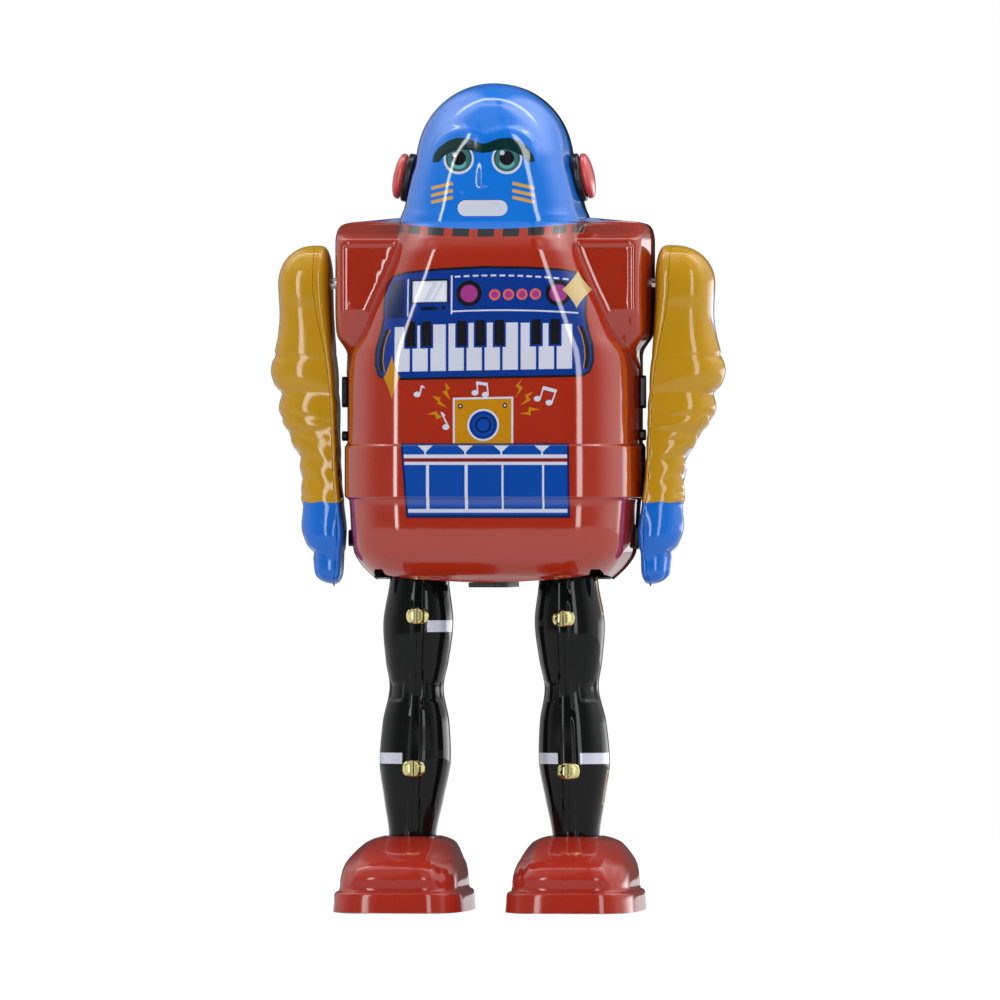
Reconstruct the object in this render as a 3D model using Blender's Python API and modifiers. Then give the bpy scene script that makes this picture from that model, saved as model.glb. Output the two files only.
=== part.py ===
"""A wind-up walking tin robot, standing, as separate pressed tin shells around a clockwork motor.

It faces -Y, with +Z up and the origin on the floor between the feet. Its own left is at +X.
Every length below is in millimetres. Each mesh is scaled to metres when its object is made.
"""

import math

import bmesh
import bpy
import numpy as np
from mathutils import Vector

MM = 0.001
TIN = 0.5  # sheet thickness of every pressed shell
GAP = 0.2  # clearance between neighbouring pieces that don't touch

# Joint axes
HIP_Z = 66.0
SHOULDER_Z = 113.7
ARBOR_Z = 101.0  # key, mainspring and great wheel
CRANK_Z = 88.9  # crown wheel and crankshaft
GOVERNOR_Z = 113.05
FAN_X, FAN_Z = 6.5, 117.8
ROLLER_Y, ROLLER_Z = -12.0, 3.55

# Gears
TOOTH_PITCH_RADIUS = 0.25  # pitch radius for each tooth
GREAT_TEETH, GOVERNOR_TEETH, CROWN_TEETH, PINION_TEETH = 40, 24, 32, 8

# Left side of the legs, arms and feet; the right side mirrors it
LEG_X_TOP, LEG_X_FOOT = 13.4, 15.3
FOOT_X = 15.6
STRIP_X = (11.4, 12.2)
CRANK_RADIUS = 4.0
CRANK_PIN = 0.7
ARM_PIN_Z = 97.0

# Body stations: height, half width, shoulder depth, chest half width, chest depth, flat half width
BODY = (
    (60.0, 21.4, 0.0, 21.4, 12.5, 13.0),
    (60.9, 22.4, 0.0, 22.4, 14.6, 14.0),
    (62.5, 24.0, 0.0, 24.0, 16.6, 15.0),
    (65.0, 25.5, 0.0, 25.5, 18.3, 15.8),
    (68.5, 26.0, 0.0, 26.0, 19.0, 16.2),
    (74.4, 26.4, 0.0, 26.4, 19.3, 16.4),
    (75.0, 27.2, 0.0, 27.2, 19.9, 16.4),
    (83.2, 27.2, 0.0, 27.2, 19.9, 16.4),
    (83.8, 26.7, 0.0, 26.7, 19.4, 16.4),
    (92.0, 26.7, 0.0, 26.7, 19.4, 16.4),
    (100.7, 26.7, 7.0, 26.3, 19.4, 15.9),
    (104.7, 28.7, 10.2, 24.2, 19.3, 14.9),
    (108.9, 28.9, 12.0, 22.6, 19.2, 13.5),
    (113.7, 28.9, 12.2, 20.4, 18.9, 11.8),
    (119.0, 28.9, 12.2, 18.2, 18.4, 10.1),
    (121.4, 28.9, 11.6, 17.4, 17.4, 9.4),
    (122.2, 28.8, 10.2, 17.2, 16.8, 9.2),
    (123.4, 28.5, 6.0, 17.0, 15.9, 8.9),
    (124.4, 27.6, 2.4, 16.9, 15.2, 8.7),
    (124.8, 26.0, 0.8, 17.2, 15.0, 8.7),
    (125.6, 16.7, 0.0, 16.7, 14.8, 8.6),
    (127.3, 16.3, 0.0, 16.3, 14.6, 8.6),
    (130.0, 15.8, 0.0, 15.8, 14.4, 8.6),
    (133.0, 15.1, 0.0, 15.1, 14.2, 8.4),
    (136.0, 14.2, 0.0, 14.2, 14.0, 8.0),
    (140.0, 13.45, 0.0, 13.45, 13.2, 7.2),
    (144.0, 11.5, 0.0, 11.5, 11.3, 6.0),
    (147.0, 8.7, 0.0, 8.7, 8.4, 4.0),
    (149.0, 5.2, 0.0, 5.2, 5.0, 2.0),
    (150.0, 1.2, 0.0, 1.2, 1.1, 0.5),
)
BACK_DEPTH = 15.0
SHOULDER_CORNER = 2.6
SIDE_DRAFT = 0.12

# Leg stations: height, half width, half depth, how far the middle sits behind the hip
LEG = (
    (9.5, 4.1, 5.2, 0.6),
    (14.0, 4.35, 5.4, 0.6),
    (20.0, 5.4, 6.2, 1.0),
    (27.5, 6.5, 6.9, 1.4),
    (34.0, 6.1, 6.6, 1.0),
    (40.5, 4.95, 5.9, 0.2),
    (45.0, 5.7, 6.3, 0.0),
    (52.0, 6.4, 6.7, 0.0),
    (60.0, 5.4, 6.3, 0.0),
    (69.0, 5.1, 5.6, 0.0),
)

# Arm stations: height, inner face, seam, outer face (all at rest), half depth, middle (forward is negative)
ARM = (
    (59.4, 27.6, 28.6, 30.4, 1.6, -3.6),
    (61.0, 27.0, 28.5, 31.4, 2.8, -3.5),
    (65.5, 26.8, 28.5, 32.6, 4.0, -3.2),
    (68.5, 26.8, 28.7, 34.2, 4.8, -2.9),
    (73.5, 27.3, 28.9, 34.6, 4.6, -2.4),
    (77.5, 27.7, 29.3, 35.0, 4.5, -1.9),
    (82.7, 28.0, 29.9, 36.0, 4.9, -1.3),
    (87.5, 28.1, 30.5, 38.2, 5.4, -0.7),
    (93.6, 28.4, 30.9, 39.5, 5.8, -0.2),
    (97.2, 28.7, 31.2, 41.1, 6.2, 0.0),
    (102.0, 29.0, 31.5, 39.9, 6.1, 0.0),
    (108.5, 29.4, 31.9, 39.4, 6.5, 0.0),
    (113.7, 29.5, 32.2, 39.9, 6.9, 0.0),
    (117.8, 29.9, 32.5, 37.8, 5.5, 0.0),
    (119.8, 30.6, 32.6, 35.0, 3.2, 0.0),
    (120.6, 31.6, 32.6, 33.6, 1.0, 0.0),
)

# Shoe stations: height, front, rear, half width
SHOE = (
    (0.0, -29.0, 19.0, 11.9),
    (3.8, -28.7, 18.7, 11.6),
    (4.2, -27.9, 17.9, 10.9),
    (7.0, -26.8, 17.6, 10.6),
    (9.5, -23.0, 17.0, 9.8),
    (11.5, -17.0, 15.8, 8.6),
    (12.8, -11.5, 12.5, 7.2),
    (13.4, -6.2, 7.4, 4.9),
)

# Colours and finishes: red, green, blue (linear), roughness, metallic
FINISHES = {
    "red_tin": (0.42, 0.035, 0.012, 0.25, 0.0),
    "dark_tin": (0.012, 0.012, 0.014, 0.25, 0.0),
    "shoe_tin": (0.36, 0.024, 0.012, 0.25, 0.0),
    "mustard_tin": (0.45, 0.26, 0.02, 0.3, 0.0),
    "black_tin": (0.008, 0.009, 0.009, 0.2, 0.0),
    "ear_black": (0.02, 0.02, 0.03, 0.4, 0.0),
    "ear_red": (0.45, 0.06, 0.06, 0.3, 0.0),
    "plated_steel": (0.55, 0.55, 0.55, 0.3, 1.0),
    "zinc_steel": (0.45, 0.44, 0.42, 0.4, 1.0),
    "spring_steel": (0.16, 0.17, 0.22, 0.35, 1.0),
    "brass": (0.7, 0.5, 0.2, 0.3, 1.0),
    "nylon": (0.75, 0.73, 0.66, 0.5, 0.0),
}


def clear_scene():
    for obj in list(bpy.data.objects):
        bpy.data.objects.remove(obj, do_unlink=True)


def new_collection(name, hidden=False):
    collection = bpy.data.collections.new(name)
    bpy.context.scene.collection.children.link(collection)
    collection.hide_render = hidden
    return collection


def material(name):
    """The finish's Principled material, made once."""
    found = bpy.data.materials.get(name)
    if found:
        return found
    red, green, blue, roughness, metallic = FINISHES[name]
    made = bpy.data.materials.new(name)
    made.use_nodes = True
    shader = made.node_tree.nodes["Principled BSDF"]
    shader.inputs["Base Color"].default_value = (red, green, blue, 1.0)
    shader.inputs["Roughness"].default_value = roughness
    shader.inputs["Metallic"].default_value = metallic
    made.diffuse_color = (red, green, blue, 1.0)
    return made


def pivot(name, position):
    """An empty on a joint's axis, which carries the pieces that turn there."""
    empty = bpy.data.objects.new(name, None)
    empty.location = Vector(position) * MM
    empty.empty_display_size = 0.01
    parts.objects.link(empty)
    return empty


def place(name, mesh, finish, body=None, solid=0.0):
    """Make an object from a bmesh in millimetres, riding on a body's pivot. solid gives a sheet its thickness."""
    bmesh.ops.recalc_face_normals(mesh, faces=mesh.faces)
    if body:
        bmesh.ops.translate(mesh, vec=-body.location / MM, verts=mesh.verts)
    bmesh.ops.scale(mesh, vec=(MM, MM, MM), verts=mesh.verts)
    data = bpy.data.meshes.new(name)
    mesh.to_mesh(data)
    mesh.free()
    obj = bpy.data.objects.new(name, data)
    parts.objects.link(obj)
    if body:
        obj.parent = body
    data.materials.append(material(finish))
    if solid:
        sheet = obj.modifiers.new("sheet", "SOLIDIFY")
        sheet.thickness = solid * MM
        sheet.offset = -1.0
    return obj


def cut(obj, shapes, body=None, operation="DIFFERENCE"):
    """Cut closed shapes (a bmesh in millimetres) out of an object, or join them to it."""
    bmesh.ops.recalc_face_normals(shapes, faces=shapes.faces)
    if body:
        bmesh.ops.translate(shapes, vec=-body.location / MM, verts=shapes.verts)
    bmesh.ops.scale(shapes, vec=(MM, MM, MM), verts=shapes.verts)
    data = bpy.data.meshes.new(obj.name + "_cutter")
    shapes.to_mesh(data)
    shapes.free()
    cutter = bpy.data.objects.new(data.name, data)
    cutter.hide_render = True
    cutter.display_type = "WIRE"
    cutters.objects.link(cutter)
    if body:
        cutter.parent = body
    boolean = obj.modifiers.new("cut", "BOOLEAN")
    boolean.operation = operation
    boolean.solver = "EXACT"
    boolean.object = cutter


def loft(mesh, rings, closed=True, first=True, last=True):
    """Skin rings of points. Closed rings join end to end. first and last close the two ends."""
    rows = [[mesh.verts.new(point) for point in ring] for ring in rings]
    for low, high in zip(rows, rows[1:]):
        last_column = len(low) if closed else len(low) - 1
        for i in range(last_column):
            j = (i + 1) % len(low)
            mesh.faces.new((low[i], low[j], high[j], high[i]))
    if first:
        mesh.faces.new(rows[0][::-1])
    if last:
        mesh.faces.new(rows[-1])


def rod(mesh, start, end, radius, sides=16):
    """A closed cylinder between two points."""
    start, end = Vector(start), Vector(end)
    along = end - start
    turn = along.to_track_quat("Z", "Y").to_matrix().to_4x4()
    turn.translation = (start + end) / 2
    bmesh.ops.create_cone(
        mesh, cap_ends=True, segments=sides, radius1=radius, radius2=radius, depth=along.length, matrix=turn
    )


def box(mesh, low, high):
    made = bmesh.ops.create_cube(mesh, size=1.0)["verts"]
    bmesh.ops.scale(mesh, vec=[h - l for l, h in zip(low, high)], verts=made)
    bmesh.ops.translate(mesh, vec=[(h + l) / 2 for l, h in zip(low, high)], verts=made)


def prism(mesh, outline, axis, low, high):
    """An outline of two coordinates, extruded along the third axis (0, 1 or 2)."""
    ends = []
    for level in (low, high):
        ends.append([list(point[:axis]) + [level] + list(point[axis:]) for point in outline])
    loft(mesh, ends)


def arc(centre, radius, start, end, steps):
    """Points on a circle, angles in degrees."""
    angles = np.radians(np.linspace(start, end, steps))
    return [(centre[0] + radius * math.cos(a), centre[1] + radius * math.sin(a)) for a in angles]


def slot_outline(centre, half_length, radius, steps=7):
    """A round-ended slot along the second coordinate."""
    x, y = centre
    top = arc((x, y + half_length), radius, 0, 180, steps)
    bottom = arc((x, y - half_length), radius, 180, 360, steps)
    return top + bottom


def lathe(mesh, profile, centre, axis, sides=16):
    """Turn a profile of (radius, level) points about an axis (0, 1 or 2) through centre."""
    across = [i for i in range(3) if i != axis]
    rings = []
    for radius, level in profile:
        ring = []
        for k in range(sides):
            angle = math.tau * k / sides
            point = [0.0, 0.0, 0.0]
            point[axis] = level
            point[across[0]] = centre[0] + radius * math.cos(angle)
            point[across[1]] = centre[1] + radius * math.sin(angle)
            ring.append(point)
        rings.append(ring)
    loft(mesh, rings)


def gear_outline(teeth, tooth_at, centre):
    """Spur teeth with tapered flanks. A tooth's middle lies at tooth_at degrees."""
    pitch_radius = teeth * TOOTH_PITCH_RADIUS
    step = 360.0 / teeth
    outline = []
    for k in range(teeth):
        middle = tooth_at + k * step
        for radius, offset in ((-0.5, -0.27), (0.32, -0.09), (0.32, 0.09), (-0.5, 0.27)):
            angle = math.radians(middle + offset * step)
            r = pitch_radius + radius
            outline.append((centre[0] + r * math.cos(angle), centre[1] + r * math.sin(angle)))
    return outline


# --- Pressed body shells -------------------------------------------------------------------------


def wall(half_width, depth, corner, angles):
    """Distance from the middle to a drafted, round-cornered half rectangle, at each angle in degrees."""
    if depth < 0.05:
        return np.zeros(len(angles))
    corner = max(0.02, min(corner, depth - 0.02, half_width - 0.02))
    straight = depth - corner
    inner = half_width - SIDE_DRAFT * straight
    points = [(half_width, 0.0), (inner, straight)]
    points += arc((inner - corner, straight), corner, 0, 90, 9)[1:]
    points.append((0.0, depth))
    x, y = np.array(points).T
    order = np.degrees(np.arctan2(y, x))
    dense = np.linspace(0, 90, 721)
    steps = np.linspace(0, len(points) - 1, 2000)
    x = np.interp(steps, range(len(points)), x)
    y = np.interp(steps, range(len(points)), y)
    order = np.degrees(np.arctan2(y, x))
    reach = np.interp(dense, order, np.hypot(x, y))
    folded = 90 - np.abs(90 - np.asarray(angles, float))
    return np.interp(folded, dense, reach)


def front_reach(station, angles):
    z, width, shoulder, chest, depth, flat = station
    box_part = wall(width, shoulder, SHOULDER_CORNER, angles)
    chest_part = wall(chest, depth, chest - flat, angles)
    return np.maximum(box_part, chest_part)


def back_reach(station, angles):
    z, width, shoulder, chest, depth, flat = station
    deep = min(depth, BACK_DEPTH)
    if z < 121.0:
        return wall(width, deep, 6.5, angles)
    box_part = wall(width, shoulder, SHOULDER_CORNER, angles)
    return np.maximum(box_part, wall(chest, deep, chest - flat, angles))


def body_shell(name, reach, side, angles, finish):
    """Half of the body, head included, from the seam out to the front (side -1) or the back (side 1)."""
    rings = []
    for station in BODY:
        radii = reach(station, angles)
        ring = []
        for angle, radius in zip(np.radians(angles), radii):
            y = side * (radius * math.sin(angle) + GAP / 2)
            ring.append((radius * math.cos(angle), y, station[0]))
        rings.append(ring)
    mesh = bmesh.new()
    loft(mesh, rings, closed=False, first=False, last=True)
    shell = place(name, mesh, finish, solid=TIN)
    edge = bmesh.new()
    near, far = sorted((side * GAP / 2, -side * 5.0))
    box(edge, (-40, near, 55), (40, far, 155))
    cut(shell, edge)
    holes = bmesh.new()
    rod(holes, (-40, 0, SHOULDER_Z), (40, 0, SHOULDER_Z), 1.4)
    if side > 0:
        rod(holes, (0, 8, ARBOR_Z), (0, 25, ARBOR_Z), 2.2)
    cut(shell, holes)


def make_body():
    half = [0, 3, 8, 15, 19, 22, 25, 29, 34, 41, 50, 62, 75, 90]
    body_shell("front_shell", front_reach, -1, half + [180 - a for a in half[-2::-1]], "red_tin")
    half = [0, 3, 9, 18, 23, 27, 34, 46, 66, 90]
    body_shell("back_shell", back_reach, 1, half + [180 - a for a in half[-2::-1]], "dark_tin")


def make_ears():
    """A black pad and a red domed cap on each side of the head, leaning with the head's wall."""
    lean = math.radians(11.7)
    for side, name in ((1, "left"), (-1, "right")):
        for piece, finish, profile in (
            ("pad", "ear_black", ((3.6, 0.0), (4.15, 0.35), (4.15, 1.3), (3.7, 1.6))),
            ("cap", "ear_red", ((3.5, 1.8), (3.9, 2.1), (3.6, 2.9), (2.4, 3.4), (0.8, 3.6))),
        ):
            mesh = bmesh.new()
            lathe(mesh, profile, (0, 0), 0, sides=20)
            for vert in mesh.verts:
                out, up = vert.co.x, vert.co.z
                vert.co.x = side * (15.5 + out * math.cos(lean) - up * math.sin(lean))
                vert.co.z = 133.0 + out * math.sin(lean) + up * math.cos(lean)
            place(f"{name}_ear_{piece}", mesh, finish)


# --- Legs and feet -------------------------------------------------------------------------------


def leg_x(z):
    """Middle of the left leg at a height: the legs spread slightly towards the feet."""
    return LEG_X_FOOT + (LEG_X_TOP - LEG_X_FOOT) * z / HIP_Z


def leg_half(side, outer):
    """Rings of a leg's outer or inner pressing, open towards its seam."""
    rings = []
    for z, width, depth, back in LEG:
        seam = leg_x(z) - 0.5
        reach = width + 0.5 if outer else -(width - 0.5)
        start = seam + (GAP / 2 if outer else -GAP / 2)
        ring = []
        for angle in np.radians(np.linspace(-90, 90, 11)):
            bulge = abs(math.cos(angle)) ** 0.8
            y = back + depth * math.copysign(abs(math.sin(angle)) ** 0.9, angle)
            ring.append((side * (start + (reach - math.copysign(GAP / 2, reach)) * bulge), y, z))
        rings.append(ring)
    return rings


def shoe_ring(side, z, front, rear, width):
    """A rounded oblong, nearly square at the sole."""
    middle, reach = (front + rear) / 2, (rear - front) / 2
    power = 0.42 if z < 8 else 0.62
    towards_leg = min(1.0, max(0.0, (z - 9.5) / 3.9))
    centre = FOOT_X + (leg_x(z) - FOOT_X) * towards_leg
    ring = []
    for angle in np.radians(np.arange(0, 360, 15)):
        across = math.copysign(abs(math.cos(angle)) ** power, math.cos(angle))
        along = math.copysign(abs(math.sin(angle)) ** power, math.sin(angle))
        ring.append((side * centre + width * across, middle + reach * along, z))
    return ring


def make_foot(side, name, body):
    mesh = bmesh.new()
    loft(mesh, [shoe_ring(side, *station) for station in SHOE], first=False, last=False)
    place(f"{name}_foot_upper", mesh, "shoe_tin", body, solid=TIN)

    sole = bmesh.new()
    outline = [point[:2] for point in shoe_ring(side, 0.0, -28.1, 18.1, 10.9)]
    prism(sole, outline, 2, 0.0, 0.6)
    sole = place(f"{name}_foot_sole", sole, "zinc_steel", body)
    ears = bmesh.new()
    for offset in (-3.1, 3.1):
        x = side * FOOT_X + offset
        box(ears, (x - 0.3, ROLLER_Y - 1.6, 0.3), (x + 0.3, ROLLER_Y + 1.6, 5.4))
    cut(sole, ears, body, "UNION")
    holes = bmesh.new()
    x = side * FOOT_X
    box(holes, (x - 2.5, ROLLER_Y - 4.2, -1.0), (x + 2.5, ROLLER_Y + 4.2, 1.0))
    rod(holes, (x - 5, ROLLER_Y, ROLLER_Z), (x + 5, ROLLER_Y, ROLLER_Z), 0.75, 12)
    cut(sole, holes, body)

    pin = bmesh.new()
    rod(pin, (x - 4.2, ROLLER_Y, ROLLER_Z), (x + 4.2, ROLLER_Y, ROLLER_Z), 0.6, 12)
    place(f"{name}_roller_pin", pin, "plated_steel", body)


def make_roller(side, name):
    """A small toothed wheel with a bore, which turns on its pin inside the sole."""
    x = side * FOOT_X
    turning = pivot(f"{name}_roller_pivot", (x, ROLLER_Y, ROLLER_Z))
    outline = []
    for k in range(16):
        angle = math.tau * k / 16
        for radius, turn in ((3.4, 0.0), (2.9, 0.1)):
            outline.append((ROLLER_Y + radius * math.cos(angle + turn), ROLLER_Z + radius * math.sin(angle + turn)))
    mesh = bmesh.new()
    prism(mesh, outline, 0, x - 1.9, x + 1.9)
    roller = place(f"{name}_foot_roller", mesh, "nylon", turning)
    bore = bmesh.new()
    rod(bore, (x - 4, ROLLER_Y, ROLLER_Z), (x + 4, ROLLER_Y, ROLLER_Z), 0.85, 12)
    cut(roller, bore, turning)


def make_leg(side, name):
    body = pivot(f"{name}_leg_pivot", (0, 0, HIP_Z))
    for half, outer in (("outer", True), ("inner", False)):
        mesh = bmesh.new()
        loft(mesh, leg_half(side, outer), closed=False, first=False, last=False)
        shell = place(f"{name}_leg_{half}", mesh, "black_tin", body, solid=TIN)
        hole = bmesh.new()
        rod(hole, (side * 6, 0, HIP_Z), (side * 22, 0, HIP_Z), 1.4)
        cut(shell, hole, body)

    strip = bmesh.new()
    low, high = sorted(side * x for x in STRIP_X)
    outline = arc((0, ARM_PIN_Z), 2.4, 0, 180, 7) + [(-2.6, 85.0), (-2.6, 40.0), (2.6, 40.0), (2.6, 85.0)]
    prism(strip, outline, 0, low, high)
    strip = place(f"{name}_leg_bracket", strip, "zinc_steel", body)
    holes = bmesh.new()
    rod(holes, (low - 1, 0, HIP_Z), (high + 1, 0, HIP_Z), 1.25)
    prism(holes, slot_outline((0, CRANK_Z), CRANK_RADIUS, CRANK_PIN + 0.25), 0, low - 1, high + 1)
    cut(strip, holes, body)
    pin = bmesh.new()
    rod(pin, (side * 12.0, 0, ARM_PIN_Z), (side * 13.1, 0, ARM_PIN_Z), 0.7, 12)
    cut(strip, pin, body, "UNION")

    make_foot(side, name, body)
    make_roller(side, name)


# --- Arms ----------------------------------------------------------------------------------------


def arm_half(side, outer):
    """Rings of an arm's outer or inner pressing, open towards its slanting seam."""
    rings = []
    for z, inside, seam, outside, depth, forward in ARM:
        start = seam + (GAP / 2 if outer else -GAP / 2)
        end = outside if outer else inside
        ring = []
        for angle in np.radians(np.linspace(-90, 90, 11 if outer else 9)):
            bulge = abs(math.cos(angle)) ** (0.8 if outer else 0.5)
            y = forward + depth * math.copysign(abs(math.sin(angle)) ** 0.9, angle)
            ring.append((side * (start + (end - start) * bulge), y, z))
        rings.append(ring)
    return rings


def make_arm(side, name):
    body = pivot(f"{name}_arm_pivot", (0, 0, SHOULDER_Z))
    for half, outer in (("outer", True), ("inner", False)):
        mesh = bmesh.new()
        loft(mesh, arm_half(side, outer), closed=False)
        shell = place(f"{name}_arm_{half}", mesh, "mustard_tin", body, solid=TIN)
        if not outer:
            hole = bmesh.new()
            rod(hole, (side * 27, 0, SHOULDER_Z), (side * 33, 0, SHOULDER_Z), 1.3)
            cut(shell, hole, body)

    axle = bmesh.new()
    rod(axle, (side * 15.2, 0, SHOULDER_Z), (side * 37.5, 0, SHOULDER_Z), 1.0)
    place(f"{name}_arm_axle", axle, "plated_steel", body)

    lever = bmesh.new()
    low, high = sorted((side * 13.5, side * 14.3))
    outline = arc((0, SHOULDER_Z), 2.6, 0, 180, 7) + arc((0, 94.5), 1.8, 180, 360, 7)
    prism(lever, outline, 0, low, high)
    lever = place(f"{name}_arm_lever", lever, "zinc_steel", body)
    slot = bmesh.new()
    prism(slot, slot_outline((0, ARM_PIN_Z - 0.4), 1.2, 0.95), 0, low - 1, high + 1)
    cut(lever, slot, body)
    hub = bmesh.new()
    rod(hub, (side * 14.0, 0, SHOULDER_Z), (side * 15.0, 0, SHOULDER_Z), 1.6)
    cut(lever, hub, body, "UNION")

    washer = bmesh.new()
    lathe(washer, ((2.2, side * 16.2), (2.2, side * 17.2)), (0, SHOULDER_Z), 0)
    washer = place(f"{name}_arm_collar", washer, "zinc_steel", body)
    bore = bmesh.new()
    rod(bore, (side * 15.5, 0, SHOULDER_Z), (side * 18, 0, SHOULDER_Z), 1.1)
    cut(washer, bore, body)


# --- Clockwork motor -----------------------------------------------------------------------------


def make_frame():
    """Two motor plates held by four pillars, and the U-shaped leg frame under them."""
    holes = {"front": ((0, ARBOR_Z), (0, GOVERNOR_Z), (FAN_X, FAN_Z)), "back": ((0, GOVERNOR_Z), (FAN_X, FAN_Z))}
    for name, low, high in (("front", -10.0, -9.2), ("back", 9.2, 10.0)):
        plate = bmesh.new()
        prism(plate, ((-11, 76), (11, 76), (11, 119), (9, 121), (-9, 121), (-11, 119)), 1, low, high)
        plate = place(f"motor_{name}_plate", plate, "zinc_steel")
        bores = bmesh.new()
        for x, z in holes[name]:
            rod(bores, (x, low - 1, z), (x, high + 1, z), 0.8, 12)
        if name == "back":
            rod(bores, (0, low - 1, ARBOR_Z), (0, high + 1, ARBOR_Z), 1.7)
        cut(plate, bores)
    pillars = ((-9.3, 79.0), (9.3, 79.0), (-9.3, 110.0), (9.3, 110.0))
    for k, (x, z) in enumerate(pillars, 1):
        pillar = bmesh.new()
        lathe(pillar, ((1.0, -9.1), (1.3, -8.7), (1.3, 8.7), (1.0, 9.1)), (x, z), 1, sides=10)
        place(f"motor_pillar_{k}", pillar, "zinc_steel")

    frame = bmesh.new()
    lug = ((-5, 60.6), (5, 60.6), (5, 77), (1.4, 80), (1.4, 91), (-4, 91), (-5, 80))
    prism(frame, lug, 0, -7.0, 7.0)
    frame = place("leg_frame", frame, "zinc_steel")
    inside = bmesh.new()
    box(inside, (-6.2, -9, 61.4), (6.2, 9, 95))
    cut(frame, inside)
    bores = bmesh.new()
    rod(bores, (-12, 0, HIP_Z), (12, 0, HIP_Z), 1.1)
    rod(bores, (-12, 0, CRANK_Z), (12, 0, CRANK_Z), 1.05)
    cut(frame, bores)

    axle = bmesh.new()
    rod(axle, (-19.8, 0, HIP_Z), (19.8, 0, HIP_Z), 1.0)
    place("hip_axle", axle, "plated_steel")

    strap = bmesh.new()
    prism(strap, ((-11.5, 58.6), (11.3, 58.6), (11.3, 59.5), (-11.5, 59.5)), 0, -3.5, 3.5)
    place("bottom_strap", strap, "dark_tin")

    post = bmesh.new()
    rod(post, (0, 2.6, CRANK_Z), (0, 9.1, CRANK_Z), 0.8, 12)
    place("crown_post", post, "plated_steel")


def make_key(turning):
    """The square-shouldered arbor, its bush in the back shell, the great wheel and the winged key."""
    arbor = bmesh.new()
    lathe(arbor, ((0.6, -11.0), (0.6, -8.8), (1.4, -8.6), (1.4, 22.0)), (0, ARBOR_Z), 1, sides=12)
    place("key_arbor", arbor, "plated_steel", turning)

    bush = bmesh.new()
    lathe(bush, ((4.0, 15.4), (4.0, 15.9), (3.0, 16.6)), (0, ARBOR_Z), 1, sides=20)
    bush = place("key_bush", bush, "brass")
    bore = bmesh.new()
    rod(bore, (0, 12, ARBOR_Z), (0, 18, ARBOR_Z), 1.8)
    cut(bush, bore)

    key = bmesh.new()
    wing = arc((6.2, 25.3), 3.7, -75, 75, 6) + [(2.0, 27.4)]
    outline = wing + [(-x, y) for x, y in wing[::-1]]
    prism(key, [(x, y) for x, y in outline], 2, ARBOR_Z - 0.7, ARBOR_Z + 0.7)
    key = place("winding_key", key, "plated_steel", turning)
    hub = bmesh.new()
    lathe(hub, ((2.6, 17.4), (2.6, 24.0), (2.0, 29.0)), (0, ARBOR_Z), 1)
    cut(key, hub, turning, "UNION")
    holes = bmesh.new()
    rod(holes, (0, 16, ARBOR_Z), (0, 22.3, ARBOR_Z), 1.55)
    for x in (-6.4, 6.4):
        rod(holes, (x, 25.3, ARBOR_Z - 3), (x, 25.3, ARBOR_Z + 3), 1.7, 12)
    cut(key, holes, turning)

    wheel = bmesh.new()
    prism(wheel, gear_outline(GREAT_TEETH, 90, (0, ARBOR_Z)), 1, 6.0, 7.0)
    wheel = place("great_wheel", wheel, "brass", turning)
    bore = bmesh.new()
    rod(bore, (0, 4, ARBOR_Z), (0, 9, ARBOR_Z), 1.5)
    cut(wheel, bore, turning)


def make_mainspring():
    """A flat spiral of strip around the arbor."""
    inner, outer, turns, strip = 2.0, 9.2, 4, 0.5
    steps = turns * 16
    edge = []
    for offset in (0.0, strip):
        side = []
        for k in range(steps + 1):
            angle = math.tau * k * turns / steps
            radius = inner + (outer - inner) * k / steps + offset
            side.append((radius * math.cos(angle), ARBOR_Z + radius * math.sin(angle)))
        edge.append(side)
    rings = []
    for k in range(steps + 1):
        (x0, z0), (x1, z1) = edge[0][k], edge[1][k]
        rings.append([(x0, -5.6, z0), (x1, -5.6, z1), (x1, 0.9, z1), (x0, 0.9, z0)])
    spring = bmesh.new()
    loft(spring, rings)
    place("mainspring", spring, "spring_steel")


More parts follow.
